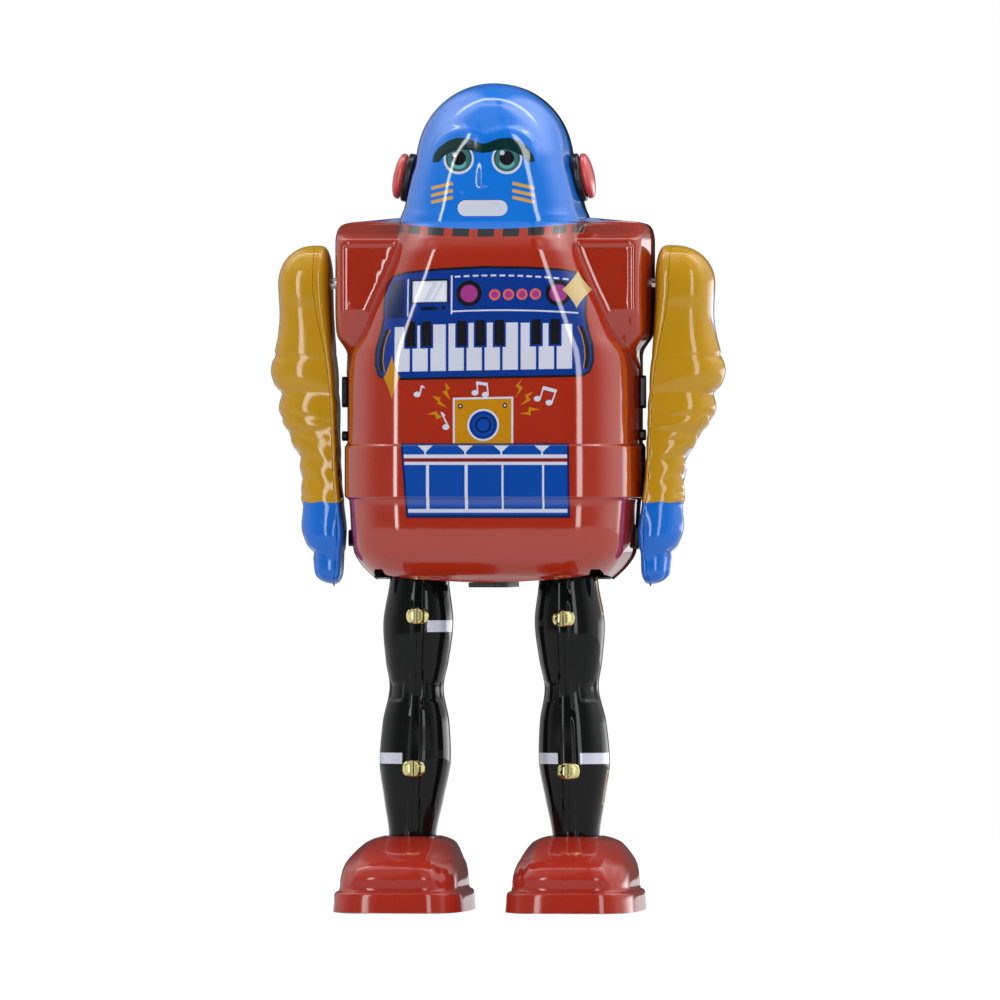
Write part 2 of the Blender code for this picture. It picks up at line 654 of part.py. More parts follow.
def make_train():
    """Crown wheel, governor wheel and fan, each turning on its own axis along Y."""
    crown = pivot("crown_pivot", (0, 0, CRANK_Z))
    half_pitch = 180.0 / PINION_TEETH
    mesh = bmesh.new()
    rim = CROWN_TEETH * TOOTH_PITCH_RADIUS
    lathe(mesh, ((rim + 0.7, 2.9), (rim + 0.7, 4.3)), (0, CRANK_Z), 1, sides=32)
    wheel = place("crown_wheel", mesh, "brass", crown)
    well = bmesh.new()
    lathe(well, ((rim - 0.7, 1.0), (rim - 0.7, 3.6)), (0, CRANK_Z), 1, sides=32)
    cut(wheel, well, crown)
    teeth = bmesh.new()
    for k in range(CROWN_TEETH):
        angle = math.tau * k / CROWN_TEETH
        out = Vector((math.cos(angle), 0, math.sin(angle)))
        across = Vector((-math.sin(angle), 0, math.cos(angle)))
        rings = []
        for level, half in ((3.3, 0.3), (1.72, 0.12)):
            ring = []
            for r, t in ((rim - 0.6, -half), (rim + 0.6, -half), (rim + 0.6, half), (rim - 0.6, half)):
                point = out * r + across * t
                ring.append((point.x, level, point.z + CRANK_Z))
            rings.append(ring)
        loft(teeth, rings)
    cut(wheel, teeth, crown, "UNION")
    pinion = bmesh.new()
    prism(pinion, gear_outline(PINION_TEETH, 90 + half_pitch, (0, CRANK_Z)), 1, 4.0, 7.4)
    cut(wheel, pinion, crown, "UNION")
    bore = bmesh.new()
    rod(bore, (0, 1, CRANK_Z), (0, 9, CRANK_Z), 0.95, 12)
    cut(wheel, bore, crown)

    governor = pivot("governor_pivot", (0, 0, GOVERNOR_Z))
    mesh = bmesh.new()
    to_fan = math.degrees(math.atan2(FAN_Z - GOVERNOR_Z, FAN_X))
    prism(mesh, gear_outline(GOVERNOR_TEETH, to_fan, (0, GOVERNOR_Z)), 1, 3.4, 4.2)
    wheel = place("governor_wheel", mesh, "brass", governor)
    pinion = bmesh.new()
    prism(pinion, gear_outline(PINION_TEETH, -90 + half_pitch, (0, GOVERNOR_Z)), 1, 4.0, 7.4)
    cut(wheel, pinion, governor, "UNION")
    arbor = bmesh.new()
    rod(arbor, (0, -10.8, GOVERNOR_Z), (0, 10.8, GOVERNOR_Z), 0.6, 12)
    cut(wheel, arbor, governor, "UNION")

    fan = pivot("fan_pivot", (FAN_X, 0, FAN_Z))
    mesh = bmesh.new()
    prism(mesh, gear_outline(PINION_TEETH, to_fan + 180 + half_pitch, (FAN_X, FAN_Z)), 1, 2.2, 5.4)
    wheel = place("governor_fan", mesh, "plated_steel", fan)
    blades = bmesh.new()
    box(blades, (FAN_X - 2.9, -6.5, FAN_Z - 0.25), (FAN_X + 2.9, 0.5, FAN_Z + 0.25))
    cut(wheel, blades, fan, "UNION")
    arbor = bmesh.new()
    rod(arbor, (FAN_X, -10.8, FAN_Z), (FAN_X, 10.8, FAN_Z), 0.6, 12)
    cut(wheel, arbor, fan, "UNION")


def make_crank():
    """A shaft across the motor with a pinion under the crown wheel and a disc and pin at each end."""
    body = pivot("crank_pivot", (0, 0, CRANK_Z))
    shaft = bmesh.new()
    rod(shaft, (-9.1, 0, CRANK_Z), (9.1, 0, CRANK_Z), 0.9, 12)
    place("crankshaft", shaft, "plated_steel", body)
    rim = CROWN_TEETH * TOOTH_PITCH_RADIUS
    pinion = bmesh.new()
    prism(pinion, gear_outline(PINION_TEETH, 180.0 / PINION_TEETH, (0, CRANK_Z)), 0, rim - 0.6, rim + 0.6)
    pinion = place("crank_pinion", pinion, "plated_steel", body)
    bore = bmesh.new()
    rod(bore, (rim - 2, 0, CRANK_Z), (rim + 2, 0, CRANK_Z), 1.0, 12)
    cut(pinion, bore, body)
    for side, name in ((1, "left"), (-1, "right")):
        disc = bmesh.new()
        lathe(disc, ((5.0, side * 9.2), (5.0, side * 10.0)), (0, CRANK_Z), 0, sides=24)
        disc = place(f"{name}_crank", disc, "zinc_steel", body)
        pin = bmesh.new()
        z = CRANK_Z + side * CRANK_RADIUS
        rod(pin, (side * 9.8, 0, z), (side * 11.1, 0, z), CRANK_PIN, 12)
        cut(disc, pin, body, "UNION")


clear_scene()
parts = new_collection("wind_up_tin_robot")
cutters = new_collection("cutters", hidden=True)
make_body()
make_ears()
for side_sign, side_name in ((1, "left"), (-1, "right")):
    make_leg(side_sign, side_name)
    make_arm(side_sign, side_name)
make_frame()
make_key(pivot("key_pivot", (0, 0, ARBOR_Z)))
make_mainspring()
make_train()
make_crank()
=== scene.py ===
"""The looks of a wind-up tin robot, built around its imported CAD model.

Lengths are in millimetres until a mesh is made, when they become metres. The robot faces -Y, with +Z up,
and its own left is at +X. Each tin pressing is a surface of two coordinates (u across, v up). The prints
are outlines cut into its mesh, so that their edges stay sharp.
"""

import math

import bmesh
import bpy
import numpy as np
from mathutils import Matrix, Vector
from mathutils.geometry import delaunay_2d_cdt
from mathutils.kdtree import KDTree


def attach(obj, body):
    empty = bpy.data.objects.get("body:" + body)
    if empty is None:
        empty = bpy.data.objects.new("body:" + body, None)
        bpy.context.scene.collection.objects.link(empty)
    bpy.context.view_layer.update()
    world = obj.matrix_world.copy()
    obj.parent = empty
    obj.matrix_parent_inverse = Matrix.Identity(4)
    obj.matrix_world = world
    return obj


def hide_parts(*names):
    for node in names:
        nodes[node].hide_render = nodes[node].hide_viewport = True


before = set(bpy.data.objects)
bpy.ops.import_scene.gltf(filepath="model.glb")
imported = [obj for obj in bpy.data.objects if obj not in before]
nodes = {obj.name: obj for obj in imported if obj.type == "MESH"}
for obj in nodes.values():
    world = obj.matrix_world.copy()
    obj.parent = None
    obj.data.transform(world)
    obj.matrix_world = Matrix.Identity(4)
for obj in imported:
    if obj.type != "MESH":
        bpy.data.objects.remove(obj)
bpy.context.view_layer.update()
MM = 0.001
THICK = 0.4  # of the tin sheets
CLEARANCE = 0.12  # from the points between the prints to their outlines
CAMERA_TURN, CAMERA_AWAY = math.radians(5.5), 3.0

# --- Node and material helpers ------------


def link(tree, source, socket):
    """Connect a socket, or set a plain value."""
    if isinstance(source, bpy.types.NodeSocket):
        tree.links.new(source, socket)
    else:
        socket.default_value = source


def calc(tree, operation, *values):
    node = tree.nodes.new("ShaderNodeMath")
    node.operation = operation
    for socket, value in zip(node.inputs, values):
        link(tree, value, socket)
    return node.outputs[0]


def ramp(tree, value, low, high, start=0.0, end=1.0, smooth=False):
    """Map value from low..high to start..end, clamped."""
    node = tree.nodes.new("ShaderNodeMapRange")
    if smooth:
        node.interpolation_type = "SMOOTHSTEP"
    for socket, given in zip(node.inputs, (value, low, high, start, end)):
        link(tree, given, socket)
    return node.outputs["Result"]


def noise(tree, place, scale, detail=3.0, stretch=None, roughness=0.55):
    """Noise with a feature size in millimetres."""
    if stretch:
        mapping = tree.nodes.new("ShaderNodeMapping")
        mapping.inputs["Scale"].default_value = stretch
        link(tree, place, mapping.inputs["Vector"])
        place = mapping.outputs["Vector"]
    node = tree.nodes.new("ShaderNodeTexNoise")
    link(tree, place, node.inputs["Vector"])
    node.inputs["Scale"].default_value = 1.0 / (scale * MM)
    node.inputs["Detail"].default_value = detail
    node.inputs["Roughness"].default_value = roughness
    return node.outputs["Fac"]


def mix(tree, share, first, second):
    node = tree.nodes.new("ShaderNodeMix")
    node.data_type = "RGBA"
    link(tree, share, node.inputs[0])
    link(tree, first, node.inputs[6])
    link(tree, second, node.inputs[7])
    return node.outputs[2]


def linear(red, green, blue):
    """Linear colour from screen values of 0 to 255."""
    values = [c / 255 for c in (red, green, blue)]
    return tuple(c / 12.92 if c <= 0.04045 else ((c + 0.055) / 1.055) ** 2.4 for c in values)


def shade(colour, amount):
    return tuple(max(0.0, c * amount) for c in colour) + (1.0,)


def finish_material(name, colour, roughness=0.2, metallic=0.0, coat=0.0, vary=0.05, peel=0.006, scratch=0.05,
                    brushed=None, specular=0.5):
    """A Principled material with mottled colour, uneven roughness and a slightly rippled surface."""
    made = bpy.data.materials.new(name)
    made.use_nodes = True
    tree = made.node_tree
    shader = tree.nodes["Principled BSDF"]
    place = tree.nodes.new("ShaderNodeTexCoord").outputs["Object"]
    broad = noise(tree, place, 14.0, detail=4.0)
    fine = noise(tree, place, 0.55, detail=2.0)
    mottle = calc(tree, "MULTIPLY_ADD", fine, 0.35, calc(tree, "MULTIPLY", broad, 0.65))
    base = mix(tree, ramp(tree, mottle, 0.36, 0.64), shade(colour, 1 - vary), shade(colour, 1 + vary))
    streaks = noise(tree, place, 0.5, detail=5.0, stretch=brushed or (1.0, 1.0, 0.12), roughness=0.7)
    rough = ramp(tree, streaks, 0.35, 0.75, max(0.02, roughness - scratch), roughness + scratch)
    bump = tree.nodes.new("ShaderNodeBump")
    bump.inputs["Strength"].default_value = 1.0
    bump.inputs["Distance"].default_value = peel * MM
    link(tree, streaks if brushed else noise(tree, place, 2.2, detail=1.0), bump.inputs["Height"])
    for socket, value in (
        ("Base Color", base),
        ("Roughness", rough),
        ("Normal", bump.outputs["Normal"]),
        ("Metallic", metallic),
        ("Coat Weight", coat),
        ("Coat Roughness", 0.04),
        ("Specular IOR Level", specular),
    ):
        link(tree, value, shader.inputs[socket])
    made.diffuse_color = shade(colour, 1.0)
    return made


def lacquer(name, colour, **changes):
    """Glossy printed tin."""
    settings = {"roughness": 0.1, "coat": 0.5, "vary": 0.035, "peel": 0.003, "scratch": 0.03, "specular": 0.7}
    return finish_material(name, tuple(0.8 * c for c in colour), **(settings | changes))


def bare_metal(name, colour, **changes):
    return finish_material(name, colour, metallic=1.0, **changes)


SOFTER = {"coat": 0.25, "specular": 0.35}
RED = lacquer("red_lacquer", (0.475, 0.0285, 0.008))
HEAD_BLUE = lacquer("sky_blue_print", (0.006, 0.225, 0.92))
NAVY = lacquer("deep_navy_print", (0.003, 0.016, 0.11))
IRIS_RIM = lacquer("iris_rim_print", linear(28, 84, 88))
IRIS_LIGHT = lacquer("iris_light_print", linear(110, 190, 190))
HEAD_DARK = lacquer("shaded_blue_print", (0.004, 0.10, 0.52))
PANEL_BLUE = lacquer("navy_print", (0.001, 0.043, 0.34))
BELT_BLUE = lacquer("mid_blue_print", (0.001, 0.078, 0.48))
BLACK = lacquer("black_print", (0.008, 0.009, 0.012))
WHITE = lacquer("white_print", (0.80, 0.84, 1.0))
GOLD = lacquer("gold_print", (0.683, 0.296, 0.003))
PALE_GOLD = lacquer("pale_gold_print", linear(232, 206, 140))
MAGENTA = lacquer("magenta_print", linear(178, 62, 150))
CORAL = lacquer("coral_print", linear(240, 118, 96))
GLASS_BLUE = lacquer("display_print", (0.98, 1.03, 1.15))
BROW = lacquer("brow_print", linear(6, 52, 54))
TEAL = lacquer("teal_print", linear(64, 125, 128))
DARK_RED = lacquer("dark_red_print", (0.30, 0.012, 0.02))
MUSTARD = lacquer("mustard_lacquer", (0.66, 0.355, 0.013), **SOFTER)
HAND_BLUE = lacquer("hand_blue_print", (0.009, 0.185, 0.8), **SOFTER)
SHOE_RED = lacquer("shoe_lacquer", (0.50, 0.034, 0.018), **SOFTER)
LEG_BLACK = lacquer("leg_black_lacquer", (0.006, 0.0065, 0.007), roughness=0.08, coat=0.12, specular=0.18)
BACK_BLACK = lacquer("back_black_lacquer", (0.010, 0.010, 0.012), roughness=0.24, coat=0.1, specular=0.25)
STRIPE_GOLD = lacquer("stripe_gold_print", (0.80, 0.46, 0.10))
EAR_RED = lacquer("ear_red_lacquer", (0.800, 0.072, 0.068), roughness=0.22)
EAR_BLACK = lacquer("ear_black_lacquer", linear(26, 28, 34), roughness=0.25, coat=0.2, specular=0.3)
TIN_EDGE = bare_metal("cut_tin_edge", (0.55, 0.54, 0.52), roughness=0.32, vary=0.15, scratch=0.1)
TIN_INSIDE = bare_metal("bare_tin_inside", (0.42, 0.42, 0.43), roughness=0.38, vary=0.12, scratch=0.1)
BRASS_TAB = bare_metal("brass_tab", (0.85, 0.78, 0.36), vary=0.1, scratch=0.08)

# --- Surfaces ------------


def spline(rows, z):
    """Smooth values between table rows, without overshoot. The first column is the height."""
    table = np.array(rows, float)
    knots, values = table[:, 0], table[:, 1:]
    gaps = np.diff(knots)[:, None]
    slopes = np.diff(values, axis=0) / gaps
    tangents = np.zeros_like(values)
    tangents[0], tangents[-1] = slopes[0], slopes[-1]
    before, after = slopes[:-1], slopes[1:]
    total = np.where(before + after == 0, 1, before + after)
    tangents[1:-1] = np.where(before * after > 0, 2 * before * after / total, 0)
    k = np.clip(np.searchsorted(knots, z, side="right") - 1, 0, len(knots) - 2)
    h = gaps[k]
    t = np.clip((z - knots[k])[:, None] / h, 0, 1)
    low = (1 + 2 * t) * (1 - t) ** 2 * values[k] + t * (1 - t) ** 2 * h * tangents[k]
    high = t * t * (3 - 2 * t) * values[k + 1] + t * t * (t - 1) * h * tangents[k + 1]
    return low + high


def smooth_step(value, low, high):
    t = np.clip((value - low) / (high - low), 0, 1)
    return t * t * (3 - 2 * t)


def hump(value, centre, width):
    return np.exp(-(((value - centre) / width) ** 2))


def signed_power(value, power):
    return np.sign(value) * np.abs(value) ** power


def points_and_normals(surface, uv, low, high, reach=0.02):
    """Points and outward unit normals, from neighbouring points kept inside the surface's own range."""
    u = np.clip(uv[:, 0], low[0] + reach, high[0] - reach)
    v = np.clip(uv[:, 1], low[1] + reach, high[1] - reach)
    across = surface(u + reach, v) - surface(u - reach, v)
    up = surface(u, v + reach) - surface(u, v - reach)
    normals = unit(np.cross(across, up))
    points = surface(uv[:, 0], uv[:, 1])
    outward = np.sum(normals * (points - points.mean(0))) >= 0
    return points, normals if outward else -normals


def unit(vectors):
    return vectors / np.maximum(np.linalg.norm(vectors, axis=1), 1e-12)[:, None]


def face_normals(points, faces):
    first, second, third = points[faces].transpose(1, 0, 2)
    return np.cross(second - first, third - first)


def facing_out(points, faces, normals):
    """The triangles, wound so that they face along the normals."""
    agree = np.sum(face_normals(points, faces) * normals[faces[:, 0]]) >= 0
    return faces if agree else faces[:, ::-1]


def resample(points, step):
    """Points no further apart than step round a closed outline."""
    points = np.asarray(points, float)
    made = []
    for start, end in zip(points, np.roll(points, -1, axis=0)):
        parts = max(1, int(math.ceil(np.linalg.norm(end - start) / step)))
        made.append(start + (end - start) * (np.arange(parts) / parts)[:, None])
    return np.concatenate(made)


def turned_left(ring):
    """The ring, running anticlockwise."""
    x, y = ring.T
    area = np.sum(x * np.roll(y, -1) - y * np.roll(x, -1))
    return ring if area > 0 else ring[::-1]


def triangulate(rings, loose):
    """Triangles inside the first of the rings (anticlockwise), with the rings that hold each one."""
    points = [Vector(p) for p in np.concatenate(list(rings) + [loose])]
    ends = np.cumsum([0] + [len(ring) for ring in rings])
    faces = [list(range(start, end)) for start, end in zip(ends, ends[1:])]
    coords, _, made, _, _, held = delaunay_2d_cdt(points, [], faces, 0, 1e-5)
    inside = [i for i, ids in enumerate(held) if 0 in ids]
    triangles = np.array([made[i] for i in inside])
    return np.array([tuple(p) for p in coords]), triangles, [held[i] for i in inside]


def lattice(low, high, step, rows=(), columns=()):
    lines = []
    for axis, extra in ((0, columns), (1, rows)):
        line = np.union1d(np.arange(low[axis] + step / 2, high[axis], step), np.asarray(extra, float))
        lines.append(line[np.concatenate([[True], np.diff(line) > step / 5])])
    u, v = lines
    return np.array(np.meshgrid(u, v)).reshape(2, -1).T


def refined(loose, patches):
    """Replace the points inside each patch (left, right, low, high, step) with a finer lattice."""
    for left, right, low, high, step in patches:
        u, v = loose.T
        loose = loose[(u < left) | (u > right) | (v < low) | (v > high)]
        loose = np.concatenate([loose, lattice((left, low), (right, high), step)])
    return loose


def clear_of(points, fixed, distance):
    tree = KDTree(len(fixed))
    for k, p in enumerate(fixed):
        tree.insert((p[0], p[1], 0), k)
    tree.balance()
    return points[[tree.find((p[0], p[1], 0))[2] > distance for p in points]]


def placed(name, mesh, body, hides=()):
    """Put the mesh in the scene, riding on its body in place of the CAD nodes that it hides."""
    piece = bpy.data.objects.new(name, mesh)
    bpy.context.scene.collection.objects.link(piece)
    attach(piece, body)
    if hides:
        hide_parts(*hides)
    return piece


def build(name, points, faces, corner_normals, slots, materials):
    """The mesh of a tin sheet, from triangles in millimetres."""
    mesh = bpy.data.meshes.new(name)
    mesh.vertices.add(len(points))
    mesh.vertices.foreach_set("co", (points * MM).astype(np.float32).ravel())
    mesh.loops.add(faces.size)
    mesh.loops.foreach_set("vertex_index", faces.astype(np.int32).ravel())
    mesh.polygons.add(len(faces))
    mesh.polygons.foreach_set("loop_start", np.arange(0, faces.size, 3, dtype=np.int32))
    mesh.polygons.foreach_set("material_index", np.asarray(slots, np.int32))
    mesh.update(calc_edges=True)
    mesh.shade_smooth()
    mesh.normals_split_custom_set(corner_normals.reshape(-1, 3))
    for material in materials:
        mesh.materials.append(material)
    return mesh


def border_of(faces):
    """The vertices round the outside of some triangles, in order."""
    follow = {}
    for a, b, c in faces:
        for start, end in ((a, b), (b, c), (c, a)):
            if follow.get((end, start)):
                del follow[end, start]
            else:
                follow[start, end] = True
    follow = dict(follow.keys())
    loop = [next(iter(follow))]
    while follow[loop[-1]] != loop[0]:
        loop.append(follow[loop[-1]])
    return loop


def sheet(name, surface, outline, base, body, hides, prints=(), step=0.6, rows=(), columns=(),
          patches=(), edge=TIN_EDGE):
    """A tin pressing. Prints are (outline, material) in painting order, all in (u, v)."""
    outline = turned_left(resample(outline, step))
    low, high = outline.min(0), outline.max(0)
    rings = [outline] + [turned_left(resample(ring, step)) for ring, _ in prints]
    loose = refined(lattice(low, high, step, rows, columns), patches)
    uv, outer, held = triangulate(rings, clear_of(loose, np.concatenate(rings), CLEARANCE))
    materials = [base, edge, TIN_INSIDE]
    for _, material in prints:
        if material not in materials:
            materials.append(material)
    colours = [0] + [materials.index(material) for _, material in prints]
    points, normals = points_and_normals(surface, uv, low, high)
    outer = facing_out(points, outer, normals)

    # The inner side starts from the same border, with a coarser lattice
    loop = border_of(outer)
    order = np.arange(len(loop))
    ring = turned_left(uv[loop])
    if not np.array_equal(ring[0], uv[loop[0]]):
        order = order[::-1]
    loose = refined(lattice(low, high, step * 1.4, rows, columns), patches)
    inner_uv, inner, _ = triangulate([ring], clear_of(loose, ring, 0.5 * step))
    inner_points, inner_normals = points_and_normals(surface, inner_uv, low, high)
    inner = facing_out(inner_points, inner, inner_normals)[:, ::-1]
    every = np.concatenate([points, inner_points - THICK * inner_normals])

    # A strip of triangles joins the two sides along the cut edge
    start = len(points)
    rim = []
    for k in range(len(loop)):
        after = (k + 1) % len(loop)
        a, b, c, d = loop[k], loop[after], start + order[k], start + order[after]
        rim += [(b, a, c), (b, c, d)]
    faces = np.concatenate([outer, inner + start, rim])
    flat = np.repeat(unit(face_normals(every, np.array(rim)))[:, None], 3, axis=1)
    corner_normals = np.concatenate([normals[outer], -inner_normals[inner], flat])
    slots = [colours[max(ids)] for ids in held] + [2] * len(inner) + [1] * len(rim)
    return placed(name, build(name, every, faces, corner_normals, slots, materials), body, hides)


def solid(name, points, faces, material, body, hides=(), sharp=35.0, bevel=0.0, wound=False):
    """A smooth closed piece. Its faces are turned to point outwards, unless they are wound already."""
    mesh = bpy.data.meshes.new(name)
    mesh.from_pydata((np.array(points) * MM).tolist(), [], faces)
    mesh.validate()
    if not wound:
        turned = bmesh.new()
        turned.from_mesh(mesh)
        bmesh.ops.recalc_face_normals(turned, faces=turned.faces)
        turned.to_mesh(mesh)
        turned.free()
    mesh.shade_smooth()
    mesh.set_sharp_from_angle(angle=math.radians(sharp))
    mesh.materials.append(material)
    piece = placed(name, mesh, body, hides)
    if bevel:
        soften(piece, bevel)


def soften(piece, width):
    """Round the edges a little, as pressing and tumbling leave them."""
    bevel = piece.modifiers.new("softened", "BEVEL")
    bevel.width = width * MM
    bevel.segments = 2
    bevel.limit_method = "ANGLE"
    bevel.angle_limit = math.radians(35)
    bevel.harden_normals = True


def lathe(name, profile, place, material, body, hides, turns=48):
    """Turn a profile of (radius, level) points. place maps (across, up, out) to points."""
    angles = np.arange(turns) * math.tau / turns
    rings = []
    for radius, level in profile:
        rings.append(place(radius * np.cos(angles), radius * np.sin(angles), np.full(turns, level)))
    faces = []
    for row in range(len(profile) - 1):
        for k in range(turns):
            a, b = row * turns + k, row * turns + (k + 1) % turns
            faces += [(a, b, b + turns), (a, b + turns, a + turns)]
    solid(name, np.concatenate(rings), faces, material, body, hides, sharp=40.0, wound=True)

# --- Body shells ------------

GAP = 0.2  # between the two shells, at the side seams
BACK_DEPTH = 15.0  # of the back shell, behind the seams
SHOULDER_CORNER = 2.6
SIDE_DRAFT = 0.12
DOME_Z, DOME_R = 136.0, 14.0
KEY_Z = 101.0
SHEAR = math.tan(math.radians(1.0))  # the chest prints lean
FACE_X = -0.65  # the face prints sit a little to the robot's right
LEVEL = 74.4  # the prints are spread out from this height
CHEST_SPREAD, FACE_SPREAD, NECK_SPREAD = 1.0129, 1.0095, 1.011

# Height, half width, shoulder depth, chest half width, chest depth, flat half width
BODY = (
    (59.0, 20.4, 0.0, 20.4, 11.0, 12.4),
    (60.0, 21.4, 0.0, 21.4, 12.5, 13.0),
    (60.9, 22.4, 0.0, 22.4, 14.6, 14.0),
    (62.5, 24.0, 0.0, 24.0, 16.6, 15.0),
    (65.0, 25.5, 0.0, 25.5, 18.3, 15.8),
    (68.5, 26.0, 0.0, 26.0, 19.0, 16.2),
    (74.4, 26.4, 0.0, 26.4, 19.3, 16.4),
    (75.0, 27.2, 0.0, 27.2, 19.9, 16.4),
    (84.0, 27.2, 0.0, 27.2, 19.9, 16.4),
    (84.6, 26.7, 0.0, 26.7, 19.4, 16.4),
    (92.0, 26.7, 0.0, 26.7, 19.4, 16.4),
    (96.5, 26.7, 0.0, 26.7, 19.4, 16.3),
    (100.7, 26.7, 7.0, 26.3, 19.4, 15.9),
    (104.7, 28.7, 10.2, 24.2, 19.3, 14.9),
    (108.9, 28.9, 12.0, 22.6, 19.2, 13.5),
    (113.7, 28.9, 12.2, 20.4, 18.9, 11.8),
    (119.0, 28.9, 12.2, 18.2, 18.4, 10.1),
    (121.4, 28.9, 11.6, 17.4, 17.4, 9.4),
    (122.2, 28.8, 10.2, 17.2, 16.8, 9.2),
    (123.4, 28.5, 6.0, 17.0, 15.9, 8.9),
    (124.4, 27.6, 2.4, 16.9, 15.2, 8.7),
    (124.8, 26.0, 0.8, 17.2, 15.0, 8.7),
    (125.2, 19.6, 0.3, 17.1, 14.95, 8.6),
    (125.8, 17.4, 0.0, 17.0, 14.85, 8.5),
    (126.6, 16.65, 0.0, 16.65, 14.7, 8.2),
    (127.6, 16.25, 0.0, 16.25, 14.55, 8.0),
    (130.0, 15.8, 0.0, 15.8, 14.4, 7.5),
    (133.0, 15.1, 0.0, 15.1, 14.2, 6.9),
    (136.0, 14.2, 0.0, 14.2, 14.0, 6.0),
    (140.0, 14.04, 0.0, 14.04, 13.78, 3.5),
    (150.0, 14.0, 0.0, 14.0, 13.5, 0.6),
)


def wall(width, depth, corner, angle):
    """Distance from the middle to a drafted, round-cornered half rectangle."""
    lean = math.hypot(1, SIDE_DRAFT)
    corner = np.maximum(np.minimum(corner, np.minimum(depth, width) - 0.02), 0.02)
    cy = depth - corner
    cx = width - SIDE_DRAFT * cy - corner * lean
    cos, sin = np.cos(angle), np.maximum(np.sin(angle), 1e-9)
    side = width / (cos + SIDE_DRAFT * sin)
    top = depth / sin
    along = cx * cos + cy * sin
    round_part = along + np.sqrt(np.maximum(along**2 - cx**2 - cy**2 + corner**2, 0))
    on_side = side * sin <= cy + corner * SIDE_DRAFT / lean
    reach = np.where(on_side, side, np.where(top * cos <= cx, top, round_part))
    return np.where(depth < 0.05, 0, reach)


def smooth_max(a, b, width):
    share = np.clip(0.5 + 0.5 * (a - b) / width, 0, 1)
    return b + (a - b) * share + width * share * (1 - share)


def section(z, angle, front):
    """Distance of the body's surface from its middle line."""
    half, shoulder, chest, depth, flat = spline(BODY, z).T
    if not front:
        depth = np.minimum(depth, BACK_DEPTH)
    dome = np.sqrt(np.clip(1 - (np.maximum(z - DOME_Z, 0) / DOME_R) ** 2, 1e-6, 1))
    folded = math.pi / 2 - np.abs(math.pi / 2 - angle)
    box = wall(half * dome, shoulder, SHOULDER_CORNER, folded)
    bulge = wall(chest * dome, depth * dome, (chest - flat) * dome, folded)
    neck = smooth_max(box, bulge, 0.8)
    if front:
        return neck
    plain = wall(half * dome, depth * dome, 6.5, folded)
    return plain + (neck - plain) * smooth_step(z, 120.0, 122.6)


def arc_length(x, y):
    """Length along a line of points, from its first one."""
    return np.concatenate([[0], np.cumsum(np.hypot(np.diff(x), np.diff(y)))])


def reference(front):
    """Arc length from the middle, against angle, on the section at 90 mm."""
    angle = np.linspace(0, math.pi, 1601)
    radius = section(np.full(angle.shape, 90.0), angle, front)
    length = arc_length(radius * np.cos(angle), radius * np.sin(angle))
    return length.max() / 2 - length, angle


ARC = {front: reference(front) for front in (True, False)}


def height_of(v):
    return np.where(v > DOME_Z, DOME_Z + DOME_R * np.sin(np.clip((v - DOME_Z) / DOME_R, 0, math.pi / 2)), v)


def level_of(z):
    return np.where(z > DOME_Z, DOME_Z + DOME_R * np.arcsin(np.clip((z - DOME_Z) / DOME_R, 0, 1)), z)


def plain_body(u, v, front):
    arc, angle = ARC[front]
    theta = np.interp(u, arc[::-1], angle[::-1])
    z = height_of(v)
    radius = section(z, theta, front)
    y = radius * np.sin(theta) + GAP / 2
    return np.stack([radius * np.cos(theta), -y if front else y, z], axis=-1)


def on_front(points):
    """(x, z) points on the front, as (u, v)."""
    points = np.asarray(points, float)
    x, z = points.T
    low, high = np.full(x.shape, 1e-3), np.full(x.shape, math.pi - 1e-3)
    for _ in range(34):
        middle = (low + high) / 2
        past = section(z, middle, True) * np.cos(middle) < x
        high, low = np.where(past, middle, high), np.where(past, low, middle)
    arc, angle = ARC[True]
    return np.stack([np.interp(low, angle, arc), level_of(z)], axis=-1)


BROW_LINE = (
    (-9.6, 136.7), (-8.9, 138.0), (-7.6, 139.2), (-5.6, 140.1), (-3.6, 140.3), (-1.8, 140.0), (-0.8, 139.75),
    (0, 139.65), (0.8, 139.75), (1.8, 140.0), (3.6, 140.3), (5.6, 140.1), (7.6, 139.2), (8.9, 138.0),
    (9.6, 136.7),
)


def front_relief(x, z):
    """How far the front is pressed out, at each (x, z)."""
    root = spline(BODY, z)[:, 2] + 0.9
    across = smooth_step(np.abs(x), root - 3.9, root - 0.8) * (1 - smooth_step(np.abs(x), 25.3, 26.9))
    rise = -0.55 * across * smooth_step(z, 102.5, 107.0) * (1 - smooth_step(z, 120.0, 121.0))
    face = x / FACE_SPREAD - FACE_X
    z = LEVEL + (z - LEVEL) / FACE_SPREAD
    brow = z - spline(BROW_LINE, face)[:, 0]
    within = 1 - smooth_step(np.abs(face), 8.4, 10.2)
    rise += 0.4 * within * hump(brow, 0, np.where(brow > 0, 1.0, 2.4))
    nose = hump(face, -0.2, np.where(face < -0.2, 0.55, 2.0))
    rise += 0.2 * nose * smooth_step(z, 130.0, 131.0) * (1 - smooth_step(z, 131.5, 135.5))
    lip = hump(z, 129.4, 0.4) * (1 - smooth_step(np.abs(face + 1.4), 1.8, 3.0))
    return rise + 0.03 * lip


def front_surface(u, v):
    flat = plain_body(u, v, True)
    reach = 0.02
    across = plain_body(u + reach, v, True) - plain_body(u - reach, v, True)
    up = plain_body(u, np.minimum(v + reach, 157.9), True) - plain_body(u, v - reach, True)
    return flat + unit(np.cross(across, up)) * front_relief(flat[:, 0], flat[:, 2])[:, None]


# --- Prints, as (x, z) outlines on the front, each with its own place and size ------------


def slanted(points):
    points = np.array(points, float)
    points[:, 1] += points[:, 0] * SHEAR
    return points


def spread(points, scale):
    return (np.array(points, float) - (0, LEVEL)) * scale + (0, LEVEL)


def block(left, right, low, high):
    return [(left, low), (right, low), (right, high), (left, high)]


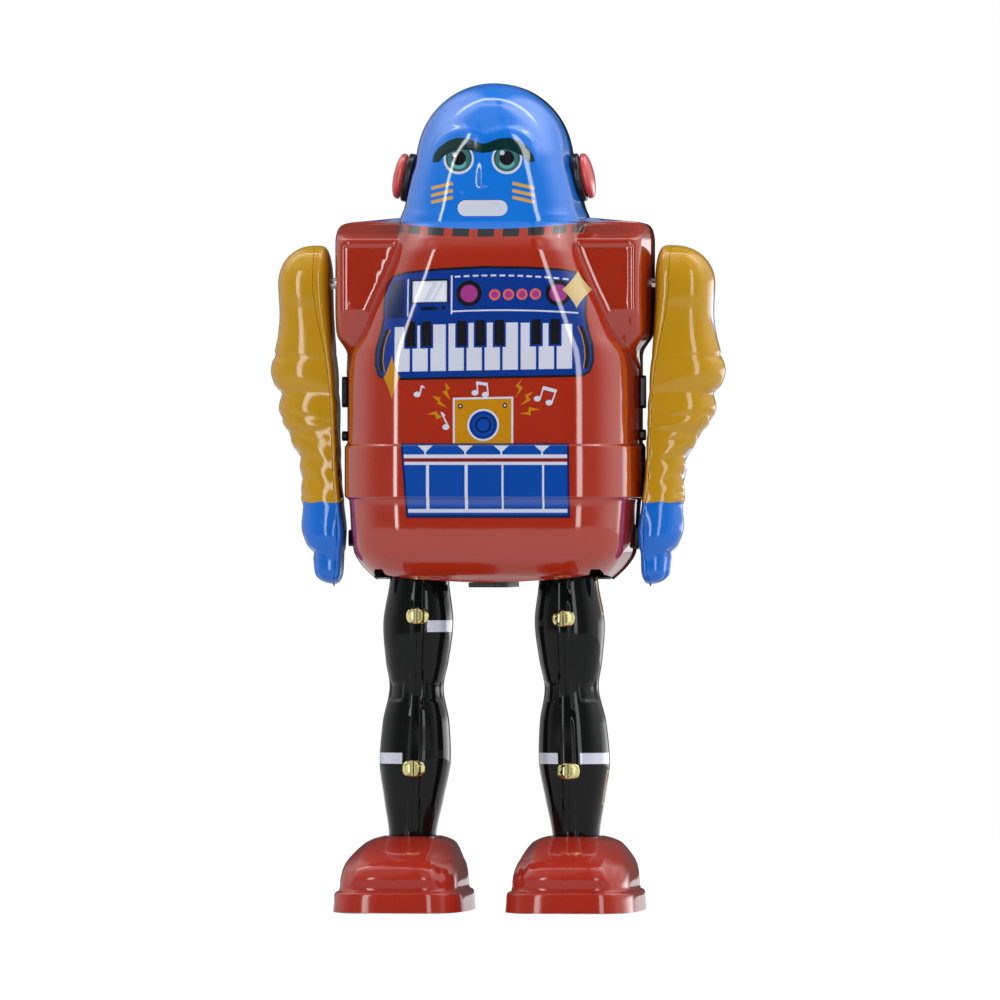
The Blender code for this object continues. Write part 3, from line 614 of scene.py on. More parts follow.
def disc(x, z, radius, high=None, count=40):
    angles = np.arange(count) * math.tau / count
    return np.stack([x + radius * np.cos(angles), z + (high or radius) * np.sin(angles)], axis=-1)


def ribbon(points, width):
    """A line of some width through points."""
    points = np.asarray(points, float)
    along = np.gradient(points, axis=0)
    side = np.stack([-along[:, 1], along[:, 0]], axis=-1)
    side *= width / 2 / np.linalg.norm(side, axis=1)[:, None]
    return np.concatenate([points + side, (points - side)[::-1]])


def grown(points, margin):
    """An outline moved outwards."""
    points = turned_left(resample(points, 0.5))
    along = np.roll(points, -1, axis=0) - np.roll(points, 1, axis=0)
    out = np.stack([along[:, 1], -along[:, 0]], axis=-1)
    return points + margin * out / np.maximum(np.linalg.norm(out, axis=1), 1e-9)[:, None]


def star(x, z, half, high, power=2.4):
    """A four-pointed star with hollow sides."""
    angles = np.arange(32) * math.tau / 32
    across, up = signed_power(np.cos(angles), power), signed_power(np.sin(angles), power)
    return np.stack([x + half * across, z + high * up], axis=-1)


def mirrored(half):
    return [(x, z) for x, z in half] + [(-x, z) for x, z in half[::-1] if x > 0.01]


KEYBOARD = (
    (0, 115.65), (8, 115.4), (14, 114.9), (16.4, 114.3), (17.4, 113.2), (17.8, 110.8), (17.8, 107),
    (18.3, 104.3), (19.1, 101.6), (19.25, 98.9), (18.7, 97.1), (17.4, 96.4), (0, 96.4),
)
FLASHES = (
    ((-6.87, 95.5), (-5.96, 94.3), (-6.6, 94.1), (-5.9, 92.2), (-7.4, 93.8), (-6.7, 94.0)),
    ((-9.2, 93.05), (-7.7, 92.8), (-7.9, 92.2), (-6.5, 90.9), (-8.4, 91.75), (-8.05, 92.05)),
    ((-10.1, 89.85), (-8.4, 90.4), (-8.2, 89.8), (-7.4, 89.35), (-8.4, 88.9), (-8.7, 89.7)),
    ((7.0, 95.95), (6.25, 94.8), (7.0, 94.3), (5.6, 92.4), (6.4, 94.0), (5.7, 94.6)),
    ((8.9, 93.5), (7.4, 93.0), (7.7, 92.15), (6.5, 91.1), (8.4, 92.0), (8.0, 92.65)),
    ((10.1, 90.3), (8.1, 90.8), (8.0, 89.9), (6.4, 89.7), (8.4, 89.35), (8.4, 90.1)),
)
BROW_SHAPE = (
    (0, 138.1), (0.7, 138.2), (1.8, 138.65), (3.2, 139.05), (4.8, 139.1), (6.4, 138.5), (7.9, 137.4),
    (8.9, 136.1), (9.2, 135.0), (8.9, 134.75), (7.9, 134.9), (7.2, 135.8), (5.8, 136.6), (4.0, 137.1),
    (2.4, 136.95), (1.2, 136.6), (0, 136.45),
)


def keyboard_prints():
    panel = mirrored(KEYBOARD)
    made = [
        (grown(panel, 0.42), BLACK),
        (panel, PANEL_BLUE),
        ([(-16.9, 113.7), (-14.2, 114.0), (-14.2, 107.1), (-17.35, 107.0), (-17.6, 109.9)], NAVY),
        (block(-13.72, -13.47, 107.35, 113.95), WHITE),
        # The display
        (block(-13.1, -6.25, 109.6, 113.85), BLACK),
        (block(-12.75, -6.6, 109.8, 113.55), WHITE),
        (block(-12.5, -6.85, 110.0, 113.3), GLASS_BLUE),
        ([(-10.9, 110.0), (-9.9, 110.0), (-8.1, 113.3), (-9.1, 113.3)], WHITE),
        ([(-9.4, 110.0), (-8.9, 110.0), (-7.1, 113.3), (-7.6, 113.3)], WHITE),
        (block(-11.3, -8.3, 108.4, 108.95), BLACK),
        (disc(-7.2, 108.75, 0.38, count=16), BLACK),
        (block(-5.9, -5.6, 107.6, 114.5), WHITE),
    ]
    for left in np.arange(-5.2, 14.9, 1.6):
        dash = [(x, 114.35 - 0.0042 * x * x) for x in np.linspace(left, left + 1.0, 4)]
        made.append((ribbon(dash, 0.32), WHITE))
    line = [(x, 108.15 - 0.0027 * x * x) for x in np.linspace(-5.6, 16.8, 30)]
    made.append((ribbon(line, 0.28), WHITE))
    for x, z in ((-2.65, 111.2), (13.3, 111.0)):
        made += [(disc(x, z, 2.3), BLACK), (disc(x, z, 1.55), MAGENTA)]
    for x in (1.94, 4.41, 6.82, 9.23):
        made += [(disc(x, 110.9, 1.0, count=28), CORAL), (disc(x, 110.9, 0.64, count=20), MAGENTA)]
    for k in range(10):
        left = -15.95 + 3.225 * k
        made.append((block(left, left + 2.72, 97.5, 105.95 - 0.0023 * (left + 1.35) ** 2), WHITE))
    sharps = (-13.05, -10.2, -3.9, -0.6, 2.8, 9.4, 12.75)
    made += [(block(x - 1.18, x + 1.18, 101.55, 106.2), PANEL_BLUE) for x in sharps]
    made += [(block(x - 0.85, x + 0.85, 101.9, 106.4), BLACK) for x in sharps]
    for side in (-1, 1):
        edge = [(17.2, 105.0), (17.9, 103.4), (18.35, 101.5), (18.5, 99.4), (18.2, 97.5)]
        edge = [(side * x, z) for x, z in edge]
        made += [(ribbon(edge, 0.75), BLACK), (ribbon([(x - side * 0.42, z) for x, z in edge], 0.16), GOLD)]
    return made + [(star(16.5, 111.6, 2.6, 3.4), PALE_GOLD), (star(-16.45, 96.5, 1.55, 3.9), GOLD)]


def note(head, top, flag=None):
    """A printed note: its round head, stem and flag."""
    made = [disc(head[0], head[1], 0.62, 0.5, count=16), ribbon([(head[0] + 0.5, head[1]), top], 0.26)]
    if flag:
        made.append(ribbon([top, ((top[0] + flag[0]) / 2 + 0.1, (top[1] + flag[1]) / 2 - 0.1), flag], 0.28))
    return made


def chest_prints():
    shapes = note((-11.9, 93.4), (-11.1, 94.95), (-10.55, 94.55))
    shapes += note((-6.75, 87.5), (-7.6, 90.15), (-6.95, 89.5))
    shapes += note((-1.55, 93.5), (-1.2, 95.4)) + note((0.3, 93.15), (0.6, 95.05))
    shapes.append(ribbon([(-1.33, 95.3), (0.73, 94.95)], 0.55))
    shapes += note((9.6, 92.25), (10.7, 94.3)) + note((11.7, 91.5), (12.9, 93.6))
    shapes.append(ribbon([(10.55, 94.2), (13.05, 93.5)], 0.6))
    made = [(shape, WHITE) for shape in shapes] + [(flash, GOLD) for flash in FLASHES]
    made += [(block(-5.5, 5.3, 84.3, 92.7), WHITE), (block(-5.16, 4.95, 84.3, 92.35), GOLD)]
    for x in (-4.16, 3.82):
        made += [(disc(x, 91.17, 0.45, count=16), BLACK), (disc(x, 91.17, 0.2, count=12), WHITE)]
    for radius, colour in ((2.85, WHITE), (2.5, PANEL_BLUE), (1.9, BELT_BLUE), (1.5, NAVY), (1.1, BELT_BLUE)):
        made.append((disc(-0.07, 87.75, radius), colour))
    return made


def belt_prints():
    made = [
        ([(-14.8, 84.5), (15.3, 84.5), (15.45, 71.2), (-13.9, 71.2)], NAVY),
        ([(-14.4, 84.15), (14.95, 84.15), (15.07, 71.7), (-13.5, 71.7)], BELT_BLUE),
    ]
    for x in (-10.4, -3.25, 3.2, 10.5):
        funnel = ((-1.35, 84.1), (-0.16, 83.0), (-0.16, 82.4), (0.16, 82.4), (0.16, 83.0), (1.35, 84.1))
        made.append(([(x + across, z) for across, z in funnel], WHITE))
    stripes = ((82.5, 81.85, WHITE), (81.85, 81.2, DARK_RED), (81.2, 80.65, WHITE), (72.8, 72.15, WHITE))
    for top, low, colour in stripes:
        made.append((block(-14.4 + 0.072 * (84.15 - low), 14.95, low, top), colour))
    for left, right in ((-10.26, -9.71), (-3.35, -2.8), (3.24, 3.6), (10.5, 10.85)):
        made.append((block(left, right, 72.6, 80.7), WHITE))
    return made


def face_prints():
    made = []
    for x in (-4.35, 4.31):
        made += [
            (disc(x, 135.4, 2.74), WHITE),
            (disc(x, 135.5, 2.36), IRIS_RIM),
            (disc(x, 135.4, 2.1), TEAL),
            (disc(x, 134.6, 1.35, 0.95), IRIS_LIGHT),
            (disc(x, 135.55, 1.3), BLACK),
        ]
    made += [(disc(x, z, 0.42, count=16), WHITE) for x, z in ((-5.1, 136.15), (3.46, 136.5))]
    made.append((mirrored(BROW_SHAPE), BROW))
    mouth = []
    for side in (1, -1):
        for angle in np.radians(np.linspace(-90, 90, 13)):
            mouth.append((side * (3.07 + 1.43 * math.cos(angle)), 126.6 + side * 1.43 * math.sin(angle)))
    made += [(grown(mouth, 0.12), HEAD_DARK), (mouth, WHITE)]
    for side in (-1, 1):
        for inner, outer in ((131.05, 130.15), (129.75, 128.85), (128.55, 127.65)):
            made.append((ribbon([(side * 5.35, inner), (side * 9.3, outer)], 0.6), STRIPE_GOLD))
    return [(np.array(shape, float) + (FACE_X, 0), colour) for shape, colour in made]


def neck_prints():
    """Black checks round the neck, evenly spaced along it."""
    angle = np.linspace(0.02, math.pi - 0.02, 1200)
    radius = section(np.full(angle.shape, 122.0), angle, True)
    x = radius * np.cos(angle)
    length = arc_length(x, radius * np.sin(angle))
    along = np.interp(0.1, x[::-1], length[::-1]) - length
    made = []
    for k in range(-4, 5):
        edge = np.interp(np.linspace(4.5 * k - 1.47, 4.5 * k + 1.47, 7), along[::-1], x[::-1])
        low, high = ([(p, z + 0.0035 * p * p) for p in edge] for z in (121.35, 122.8))
        made.append((low + high[::-1], BLACK))
    return made


# --- The two shells ------------


def front_outline():
    """The front shell's edge: seams at the sides, a cap at the crown and a lower edge with two lobes."""
    side = ARC[True][0].max()
    lower = ((0, 59.5), (5, 59.6), (10, 59.9), (14, 60.2), (17, 60.6), (18.4, 60.9), (18.9, 61.9),
             (20.4, 61.9), (20.9, 60.9), (21.6, 60.5), (22.4, 60.5))
    right = [(float(on_front([point])[0][0]), point[1]) for point in lower] + [(side, 60.7), (side, 157.6)]
    return right + [(-u, v) for u, v in right[::-1] if u > 1e-6]


# Where the front has finer points: left, low, right, high, and their spacing
FINE_PATCHES = (
    (-11.5, 124.0, 11.0, 142.5, 0.28),
    (-17.3, 117.0, 17.3, 123.9, 0.4),
    (17.5, 102.5, 27.6, 122.2, 0.21),
    (-27.6, 102.5, -17.5, 122.2, 0.21),
)
RIDGE_ROWS = np.concatenate([np.arange(74.2, 75.6, 0.2), np.arange(83.8, 85.2, 0.2)])


def make_front():
    side = ARC[True][0].max()
    u = np.linspace(-side, side, 120)
    x = plain_body(u, np.full(u.shape, 123.4), True)[:, 0]
    border = np.where(np.abs(x) > 16.5, 125.0, 123.3 + 0.0042 * x**2)
    prints = [(list(zip(u, border)) + [(side, 157.6), (-side, 157.6)], HEAD_BLUE)]
    flat = [(slanted(shape), colour) for shape, colour in keyboard_prints() + chest_prints()] + belt_prints()
    for group, scale in ((flat, CHEST_SPREAD), (face_prints(), FACE_SPREAD), (neck_prints(), NECK_SPREAD)):
        for shape, colour in group:
            prints.append((on_front(resample(spread(shape, scale), 0.45)), colour))
    rows = np.concatenate([RIDGE_ROWS, np.arange(118, 126, 0.3)])
    patches = []
    for x_low, z_low, x_high, z_high, spacing in FINE_PATCHES:
        (left, low), (right, high) = on_front([(x_low, z_low), (x_high, z_high)])
        patches.append((left, right, low, high, spacing))
    sheet("front_shell_tin", front_surface, front_outline(), RED, "torso", ("front_shell",),
          prints, rows=rows, patches=patches)


def back_surface(u, v):
    flat = plain_body(u, v, False)
    flat[:, 0] = -flat[:, 0]
    off = np.hypot(flat[:, 0], flat[:, 2] - KEY_Z)
    far = np.maximum(np.hypot(flat[:, 0], flat[:, 1]), 6.0)
    # It overlaps the front, and stands out a little further on the robot's left
    flat[:, :2] *= 1 + ((0.24 + 0.18 * flat[:, 0] / far) / far)[:, None]
    flat[:, 1] += 0.6 * (1 - smooth_step(off, 6.2, 7.6)) - 0.25 * (1 - smooth_step(off, 4.4, 5.0))
    return flat


def make_back():
    side = ARC[False][0].max()
    rows = np.concatenate([RIDGE_ROWS, np.arange(118, 126, 0.4)])
    # The smallest disc is painted shade: a dark grey print stands in for the dark inside of the key's hole,
    # which is not cut
    rings = ((8.6, GOLD), (8.2, BACK_BLACK), (2.2, EAR_BLACK))
    prints = [(disc(0, KEY_Z, radius), colour) for radius, colour in rings]
    sheet("back_shell_tin", back_surface, block(-side, side, 60.0, 157.6), BACK_BLACK, "torso",
          ("back_shell",), prints, step=0.8, rows=rows, edge=BACK_BLACK)


make_front()
make_back()

# --- Arms ------------

# Height, inner face, seam, outer face, half depth, middle (forward is negative)
ARM = (
    (59.2, 27.6, 28.8, 31.9, 3.0, -3.6),
    (61.5, 27.2, 28.4, 32.3, 3.4, -3.5),
    (64.0, 27.1, 28.2, 32.6, 3.7, -3.3),
    (65.6, 26.9, 28.0, 33.4, 4.4, -3.2),
    (68.5, 26.9, 27.8, 34.1, 4.8, -2.9),
    (73.5, 27.3, 28.2, 34.5, 4.6, -2.4),
    (77.5, 27.7, 28.6, 34.8, 4.5, -1.9),
    (82.0, 28.0, 28.9, 35.2, 4.9, -1.3),
    (85.0, 28.1, 29.0, 36.9, 5.1, -1.0),
    (88.2, 28.2, 29.1, 39.0, 5.5, -0.6),
    (90.5, 28.3, 29.2, 39.8, 5.6, -0.4),
    (92.8, 28.4, 29.3, 39.9, 5.7, -0.2),
    (95.4, 28.6, 29.5, 41.0, 6.0, -0.1),
    (98.4, 28.8, 29.8, 41.5, 6.2, 0.0),
    (101.2, 29.0, 30.3, 41.0, 6.1, 0.0),
    (104.5, 29.2, 31.0, 40.2, 6.2, 0.0),
    (108.5, 29.4, 31.8, 39.8, 6.5, 0.0),
    (113.7, 29.5, 32.4, 40.0, 6.9, 0.0),
    (121.0, 29.5, 32.4, 40.0, 6.9, 0.0),
)
ARM_TOP, ARM_TIP = (113.7, 6.9), (61.2, 2.0)
SEAM_GAP = 0.03  # from each half to the seam's middle


def arc_angles(width, depth, bulge):
    """Arc length against angle for a half section, from -90 to 90 degrees."""
    angle = np.radians(np.linspace(-90, 90, 721))
    length = arc_length(width * np.abs(np.cos(angle)) ** bulge, depth * signed_power(np.sin(angle), 0.9))
    return length - length.max() / 2, angle


def arm_relief(z, angle, outer):
    """Sleeve folds, the crumpled forearm, the cuff and the hand."""
    folds = (
        (0.35, 97.4, 2.0),
        (-0.6, 93.9, 0.8),
        (0.35, 91.2, 1.3),
        (-0.45, 86.8, 0.8),
        (-0.35, 100.6 + 0.4 * np.sin(angle), 0.5),
        (-0.3, 89.0 - 1.2 * np.sin(2 * angle), 0.6),
        (0.35, 74.6, 0.7),
    )
    rise = sum(depth * hump(z, level, width) for depth, level, width in folds)
    within = smooth_step(z, 74.6, 75.8) * (1 - smooth_step(z, 85.2, 87.4))
    rise = rise + 0.2 * within * np.sin(math.tau * (z - 75) / 3.9 + 1.6 * np.sin(3 * angle))
    hand = 1 - smooth_step(z, 72.6, 73.8)
    fingers = 1 - smooth_step(z, 64.5, 66.8)
    rise = rise + hand * (0.55 * hump(z, 69.4, 2.6) - 0.7 * hump(z, 65.0, 0.6))
    rise = rise - 0.42 * fingers * hump(np.sin(4.2 * angle + 0.6), -1.0, 0.42)
    thumb = hump(z, 68.2, 2.3) * hump(np.degrees(angle), -100 if outer else -62, 34)
    return rise + 1.1 * thumb * hand


def arm_surface(side, outer):
    bulge = 0.68 if outer else 0.5
    length, table = arc_angles(7.7 if outer else 2.7, 6.3, bulge)

    def surface(u, v):
        angle = np.interp(u, length, table)
        # The section shrinks over the round top and the round tip
        top = np.clip((v - ARM_TOP[0]) / ARM_TOP[1], 0, 1.57)
        tip = np.clip((ARM_TIP[0] - v) / ARM_TIP[1], 0, 1.57)
        z = np.clip(v, ARM_TIP[0], ARM_TOP[0]) + ARM_TOP[1] * np.sin(top) - ARM_TIP[1] * np.sin(tip)
        share = np.cos(top) * np.cos(tip)
        inside, seam, outside, depth, forward = spline(ARM, z).T
        round_part = np.abs(np.cos(angle))
        rise = arm_relief(z, angle, outer) * round_part**0.35
        if outer:
            across = (outside - seam) * share ** np.where(v > ARM_TOP[0], 0.9, 1.0)
            # The two arms were pressed a little differently above the wrist
            across = across * (1 + (0.025 if side > 0 else -0.1) * smooth_step(z, 82.0, 92.0))
            square = bulge - 0.26 * smooth_step(z, 84.0, 90.0)
            x = seam + SEAM_GAP + across * round_part**square + rise * round_part
        else:
            rise = 0.3 * rise
            x = seam - SEAM_GAP - (seam - inside) * share**0.5 * round_part**bulge - rise * round_part
        y = forward + depth * share * signed_power(np.sin(angle), 0.9) + rise * np.sin(angle) * 0.7
        return np.stack([side * x, y, z], axis=-1)

    return surface, length.max()


def make_arm(side, name):
    low = ARM_TIP[0] - ARM_TIP[1] * 1.52
    high = ARM_TOP[0] + ARM_TOP[1] * 1.53
    for half in ("outer", "inner"):
        surface, edge = arm_surface(side, half == "outer")
        waves = np.linspace(-edge - 0.5, edge + 0.5, 40)
        cuff = [(u, 74.0 + 0.12 * math.sin(1.3 * u)) for u in waves]
        prints = [(cuff + [(edge + 0.5, low - 1), (-edge - 0.5, low - 1)], HAND_BLUE)]
        if half == "outer":
            patch = block(-2.1, 4.3, 76.6, 83.7)
            prints += [
                (disc(1.8, 108.6, 5.2), RED),
                (disc(1.8, 108.6, 4.6), WHITE),
                (star(1.8, 108.6, 2.8, 3.6), GOLD),
                (grown(patch, 0.35), RED),
                (patch, WHITE),
            ]
            prints += [(block(-1.1, 3.3, z, z + 0.7), HAND_BLUE) for z in (77.8, 79.6, 81.4)]
        sheet(f"{name}_arm_{half}_tin", surface, block(-edge, edge, low, high), MUSTARD, f"{name}_arm",
              (f"{name}_arm_{half}",), prints, step=0.55)


# --- Legs ------------

# Height, half width, half depth, how far the middle sits behind the hip
LEG = (
    (9.5, 4.1, 5.2, 0.6),
    (14.0, 4.35, 5.4, 0.6),
    (20.0, 5.4, 6.2, 1.0),
    (27.5, 6.5, 6.9, 1.4),
    (34.0, 6.1, 6.6, 1.0),
    (40.5, 4.95, 5.9, 0.2),
    (45.0, 5.7, 6.3, 0.0),
    (52.0, 6.4, 6.7, 0.0),
    (60.0, 5.4, 6.3, 0.0),
    (69.0, 5.1, 5.6, 0.0),
)


def leg_x(z):
    """How far out the middle of a leg is."""
    return 15.3 - 1.9 * z / 66.0


def leg_seam(z):
    return leg_x(z) - 0.5


def leg_surface(side, outer):
    length, table = arc_angles(6.0, 6.3, 0.8)
    away = 1 if outer else -1

    def surface(u, v):
        angle = np.interp(u, length, table)
        width, depth, back = spline(LEG, v).T
        reach = (width + (0.4 if outer else -0.6)) * np.abs(np.cos(angle)) ** 0.8
        degrees = np.degrees(angle)
        knee = smooth_step(v, 37.9, 38.5) * (1 - smooth_step(v, 41.0, 41.6))
        front = smooth_step(degrees, -72, -64) * (1 - smooth_step(degrees, -24, -14))
        dip = (-0.4 if outer else -0.28) * knee * front
        ridge = 0.8 * (1 - smooth_step(reach, 0.85, 1.2))
        y = back + depth * signed_power(np.sin(angle), 0.9) + ridge * np.sign(angle) + dip * np.sin(angle)
        x = leg_seam(v) + away * (SEAM_GAP + reach + dip * np.cos(angle))
        return np.stack([side * x, y, v], axis=-1)

    return surface, length.max()


def make_leg(side, name):
    for half in ("outer", "inner"):
        outer = half == "outer"
        surface, edge = leg_surface(side, outer)
        inset = edge - 1.9
        prints = []
        if side < 0 and not outer:
            prints.append((block(-inset, inset, 50.5, 52.6), WHITE))
        if outer or side > 0:
            prints.append((block(-inset, inset, 26.6, 28.6), WHITE))
        if outer:
            for low, high in ((54.0, 60.0), (19.6, 25.0)):
                oblong = block(-1.6, 1.6, low, high)
                prints += [(grown(oblong, 0.5), GOLD), (oblong, LEG_BLACK)]
                prints.append((disc(0, (low + high) / 2, 0.8, 1.6), GOLD))
        columns = [s * (edge - d) for s in (-1, 1) for d in (0.35, 0.6, 0.8, 1.0, 1.2, 1.45)]
        sheet(f"{name}_leg_{half}_tin", surface, block(-edge, edge, 9.6, 68.8), LEG_BLACK, f"{name}_leg",
              (f"{name}_leg_{half}",), prints, columns=columns)
    raised = 0.45 if side < 0 else 0.0
    for level, tab in ((53.0, "upper"), (25.3, "lower")):
        for face, facing in ((-1, "front"), (1, "rear")):
            make_tab(side, f"{name}_leg_{tab}_{facing}_tab", level + raised, face, f"{name}_leg")


def make_tab(side, name, level, face, body):
    """A brass tab through the seam, with its two ends bent over beside the ridge."""
    angles = np.radians(np.linspace(-90, 90, 15))
    shape = np.stack([0.1 + 2.0 * np.cos(angles) ** 0.7, 1.45 * signed_power(np.sin(angles), 0.8)], axis=-1)
    middle = shape.mean(0)
    count = len(shape)
    points, faces = [], []
    for outward in (-1, 1):
        # Where the leg's skin lies behind each point of the lobe
        surface, edge = leg_surface(side, outward > 0)
        skin = surface(np.linspace(0, edge, 200) * face, np.full(200, level))
        away = outward * side * skin[:, 0]
        order = np.argsort(away)
        start = len(points)
        for scale, lift in ((1.0, 0.0), (1.0, 0.28), (0.84, 0.45), (0.4, 0.55)):
            moved = middle + (shape - middle) * scale
            x = side * (leg_seam(level) + outward * moved[:, 0])
            y = np.interp(outward * side * x, away[order], skin[order, 1])
            points += np.stack([x, y + face * lift, level + moved[:, 1]], axis=-1).tolist()
        for row in range(start, start + 3 * count, count):
            for k in range(count):
                a, b = row + k, row + (k + 1) % count
                faces.append((a, b, b + count, a + count))
        faces.append(tuple(range(start + 3 * count, start + 4 * count)))
        faces.append(tuple(range(start + count - 1, start - 1, -1)))
    solid(name, points, faces, BRASS_TAB, body)


# --- Feet ------------

# Height, front, rear, half width, how square the outline is
SHOE = (
    (0.15, -29.0, 19.0, 11.9, 0.40),
    (1.5, -28.9, 18.9, 11.8, 0.40),
    (3.3, -28.75, 18.75, 11.65, 0.40),
    (3.75, -28.45, 18.45, 11.35, 0.40),
    (3.95, -27.9, 17.95, 10.9, 0.41),
    (4.3, -27.75, 17.85, 10.8, 0.42),
    (5.6, -27.5, 17.75, 10.75, 0.43),
    (7.0, -26.8, 17.6, 10.6, 0.45),
    (8.4, -25.2, 17.35, 10.3, 0.49),
    (9.5, -23.0, 17.0, 9.8, 0.53),
    (10.6, -20.1, 16.5, 9.2, 0.57),
    (11.5, -17.0, 15.8, 8.6, 0.60),
    (12.3, -13.6, 14.3, 7.9, 0.62),
    (12.9, -10.6, 11.6, 6.9, 0.63),
    (13.3, -8.0, 9.2, 5.8, 0.64),
    (13.5, -6.3, 7.5, 5.0, 0.66),
)


def shoe_table():
    """The rows of SHOE, each with its distance up the shoe's front in place of a height."""
    rows = np.array(SHOE)
    return np.column_stack([arc_length(rows[:, 0], rows[:, 1]), rows])


SHOE_ROWS = shoe_table()


def shoe_surface(side):
    angle = np.linspace(-math.pi, math.pi, 2401)
    length = arc_length(10.9 * signed_power(np.cos(angle), 0.45), 22.5 * signed_power(np.sin(angle), 0.45))
    length -= length.max() / 2

    def surface(u, v):
        turn = np.interp(u, length, angle) + math.pi / 2
        z, front, rear, width, power = spline(SHOE_ROWS, v).T
        y = (front + rear) / 2 + (rear - front) / 2 * signed_power(np.sin(turn), power)
        taper = 1 - 0.045 * smooth_step(y, -4.0, 18.0)
        off = width * signed_power(np.cos(turn), power) * taper
        x = 15.6 + (leg_x(z) - 15.6) * np.clip((z - 9.5) / 3.9, 0, 1) + off
        # A raised cap over the toes
        toe = 1 - smooth_step(np.hypot(off / 8.3, (z - 3.0) / 16.5), 0.84, 1.06)
        lift = toe * (1 - smooth_step(y, -12.0, -5.0)) * smooth_step(z, 4.3, 5.6)
        return np.stack([side * x, y - 0.63 * lift, z + 0.63 * lift], axis=-1)

    return surface, length.max()


def make_foot(side, name):
    surface, edge = shoe_surface(side)
    rows = (0.3, 3.2, 3.45, 3.7, 3.85, 4.0, 4.15, 4.4)
    sheet(f"{name}_foot_tin", surface, block(-edge, edge, 0.0, SHOE_ROWS[-1, 0]), SHOE_RED, f"{name}_leg",
          (f"{name}_foot_upper",), rows=rows)


def make_seam_tabs():
    """Dark tin tabs bent over the body's side seam."""
    rows = ((1, 91.0, 97.0, 27.1), (-1, 91.2, 96.8, 27.1), (1, 85.2, 87.2, 27.1), (-1, 85.1, 86.9, 27.1),
            (1, 65.5, 70.0, 25.9), (-1, 66.0, 69.0, 25.9))
    for number, (side, low, high, reach) in enumerate(rows, 1):
        outline = [(-1.5, low + 0.5), (-1.5, high - 0.5), (-0.9, high), (0.9, high), (1.5, high - 0.5),
                   (1.5, low + 0.5), (0.9, low), (-0.9, low)]
        points = [(side * (reach - 0.4), y, z) for y, z in outline]
        points += [(side * (reach + 0.55), y * 0.9, z) for y, z in outline]
        count = len(outline)
        faces = [tuple(range(count)), tuple(range(2 * count - 1, count - 1, -1))]
        faces += [(k, (k + 1) % count, (k + 1) % count + count, k + count) for k in range(count)]
        solid(f"body_seam_tab_{number}", points, faces, BACK_BLACK, "torso", bevel=0.18)


def make_ears():
    """A black pad and a red dome on each side, square to the sloping head."""
    lean = math.radians(11.7)
    pad = ((0.0, -0.3), (3.5, -0.3), (3.6, 0.0), (4.0, 0.12), (4.15, 0.35), (4.15, 1.2), (4.0, 1.45),
           (3.6, 1.6), (0.0, 1.6))
    cap = ((0.0, 1.55), (3.4, 1.55), (3.5, 1.75), (3.8, 1.9), (3.92, 2.15), (3.85, 2.6), (3.55, 2.95),
           (3.0, 3.2), (2.2, 3.42), (1.2, 3.56), (0.0, 3.6))
    for side, name in ((1, "left"), (-1, "right")):

        def place(across, up, out):
            across, up = 1.07 * across, 1.07 * up
            x = side * (14.7 + out * math.cos(lean) - up * math.sin(lean))
            return np.stack([x, side * across, 132.7 + out * math.sin(lean) + up * math.cos(lean)], axis=-1)

        lathe(f"{name}_ear_pad_rim", pad, place, EAR_BLACK, "torso", (f"{name}_ear_pad",))
        lathe(f"{name}_ear_cap_dome", cap, place, EAR_RED, "torso", (f"{name}_ear_cap",))


def make_fittings():
    """Materials and softened edges for the metal and nylon pieces."""
    zinc = bare_metal("zinc_coated_steel", (0.5, 0.49, 0.47), roughness=0.36, vary=0.14, scratch=0.12)
    steel = {"vary": 0.06, "scratch": 0.1, "peel": 0.002, "brushed": (1, 0.05, 1)}
    blued = {"roughness": 0.3, "vary": 0.2, "scratch": 0.12}
    nylon = {"roughness": 0.45, "vary": 0.04, "scratch": 0.08}
    dark = {"roughness": 0.32, "vary": 0.2, "scratch": 0.1, "specular": 0.3}
    by_slot = {
        "plated_steel": bare_metal("bright_plated_steel", (0.62, 0.62, 0.63), **steel),
        "spring_steel": bare_metal("blued_spring_steel", (0.16, 0.17, 0.23), **blued),
        "brass": bare_metal("stamped_brass", (0.68, 0.49, 0.2), roughness=0.28, vary=0.1, scratch=0.1),
        "nylon": finish_material("moulded_nylon", (0.72, 0.70, 0.62), **nylon),
        "dark_tin": finish_material("dark_strap_tin", (0.015, 0.015, 0.018), **dark),
    }
    for node, piece in nodes.items():
        if piece.hide_render:
            continue
        first = piece.data.materials[0].name.split(".")[0] if piece.data.materials else ""
        piece.data.materials.clear()
        piece.data.materials.append(by_slot.get(first, zinc))
        if node in ("winding_key", "bottom_strap", "key_bush") or "bracket" in node or "lever" in node:
            soften(piece, 0.12)


for side_sign, side_name in ((1, "left"), (-1, "right")):
    make_arm(side_sign, side_name)
    make_leg(side_sign, side_name)
    make_foot(side_sign, side_name)
make_seam_tabs()
make_ears()
make_fittings()

# --- Room, camera and finish ------------


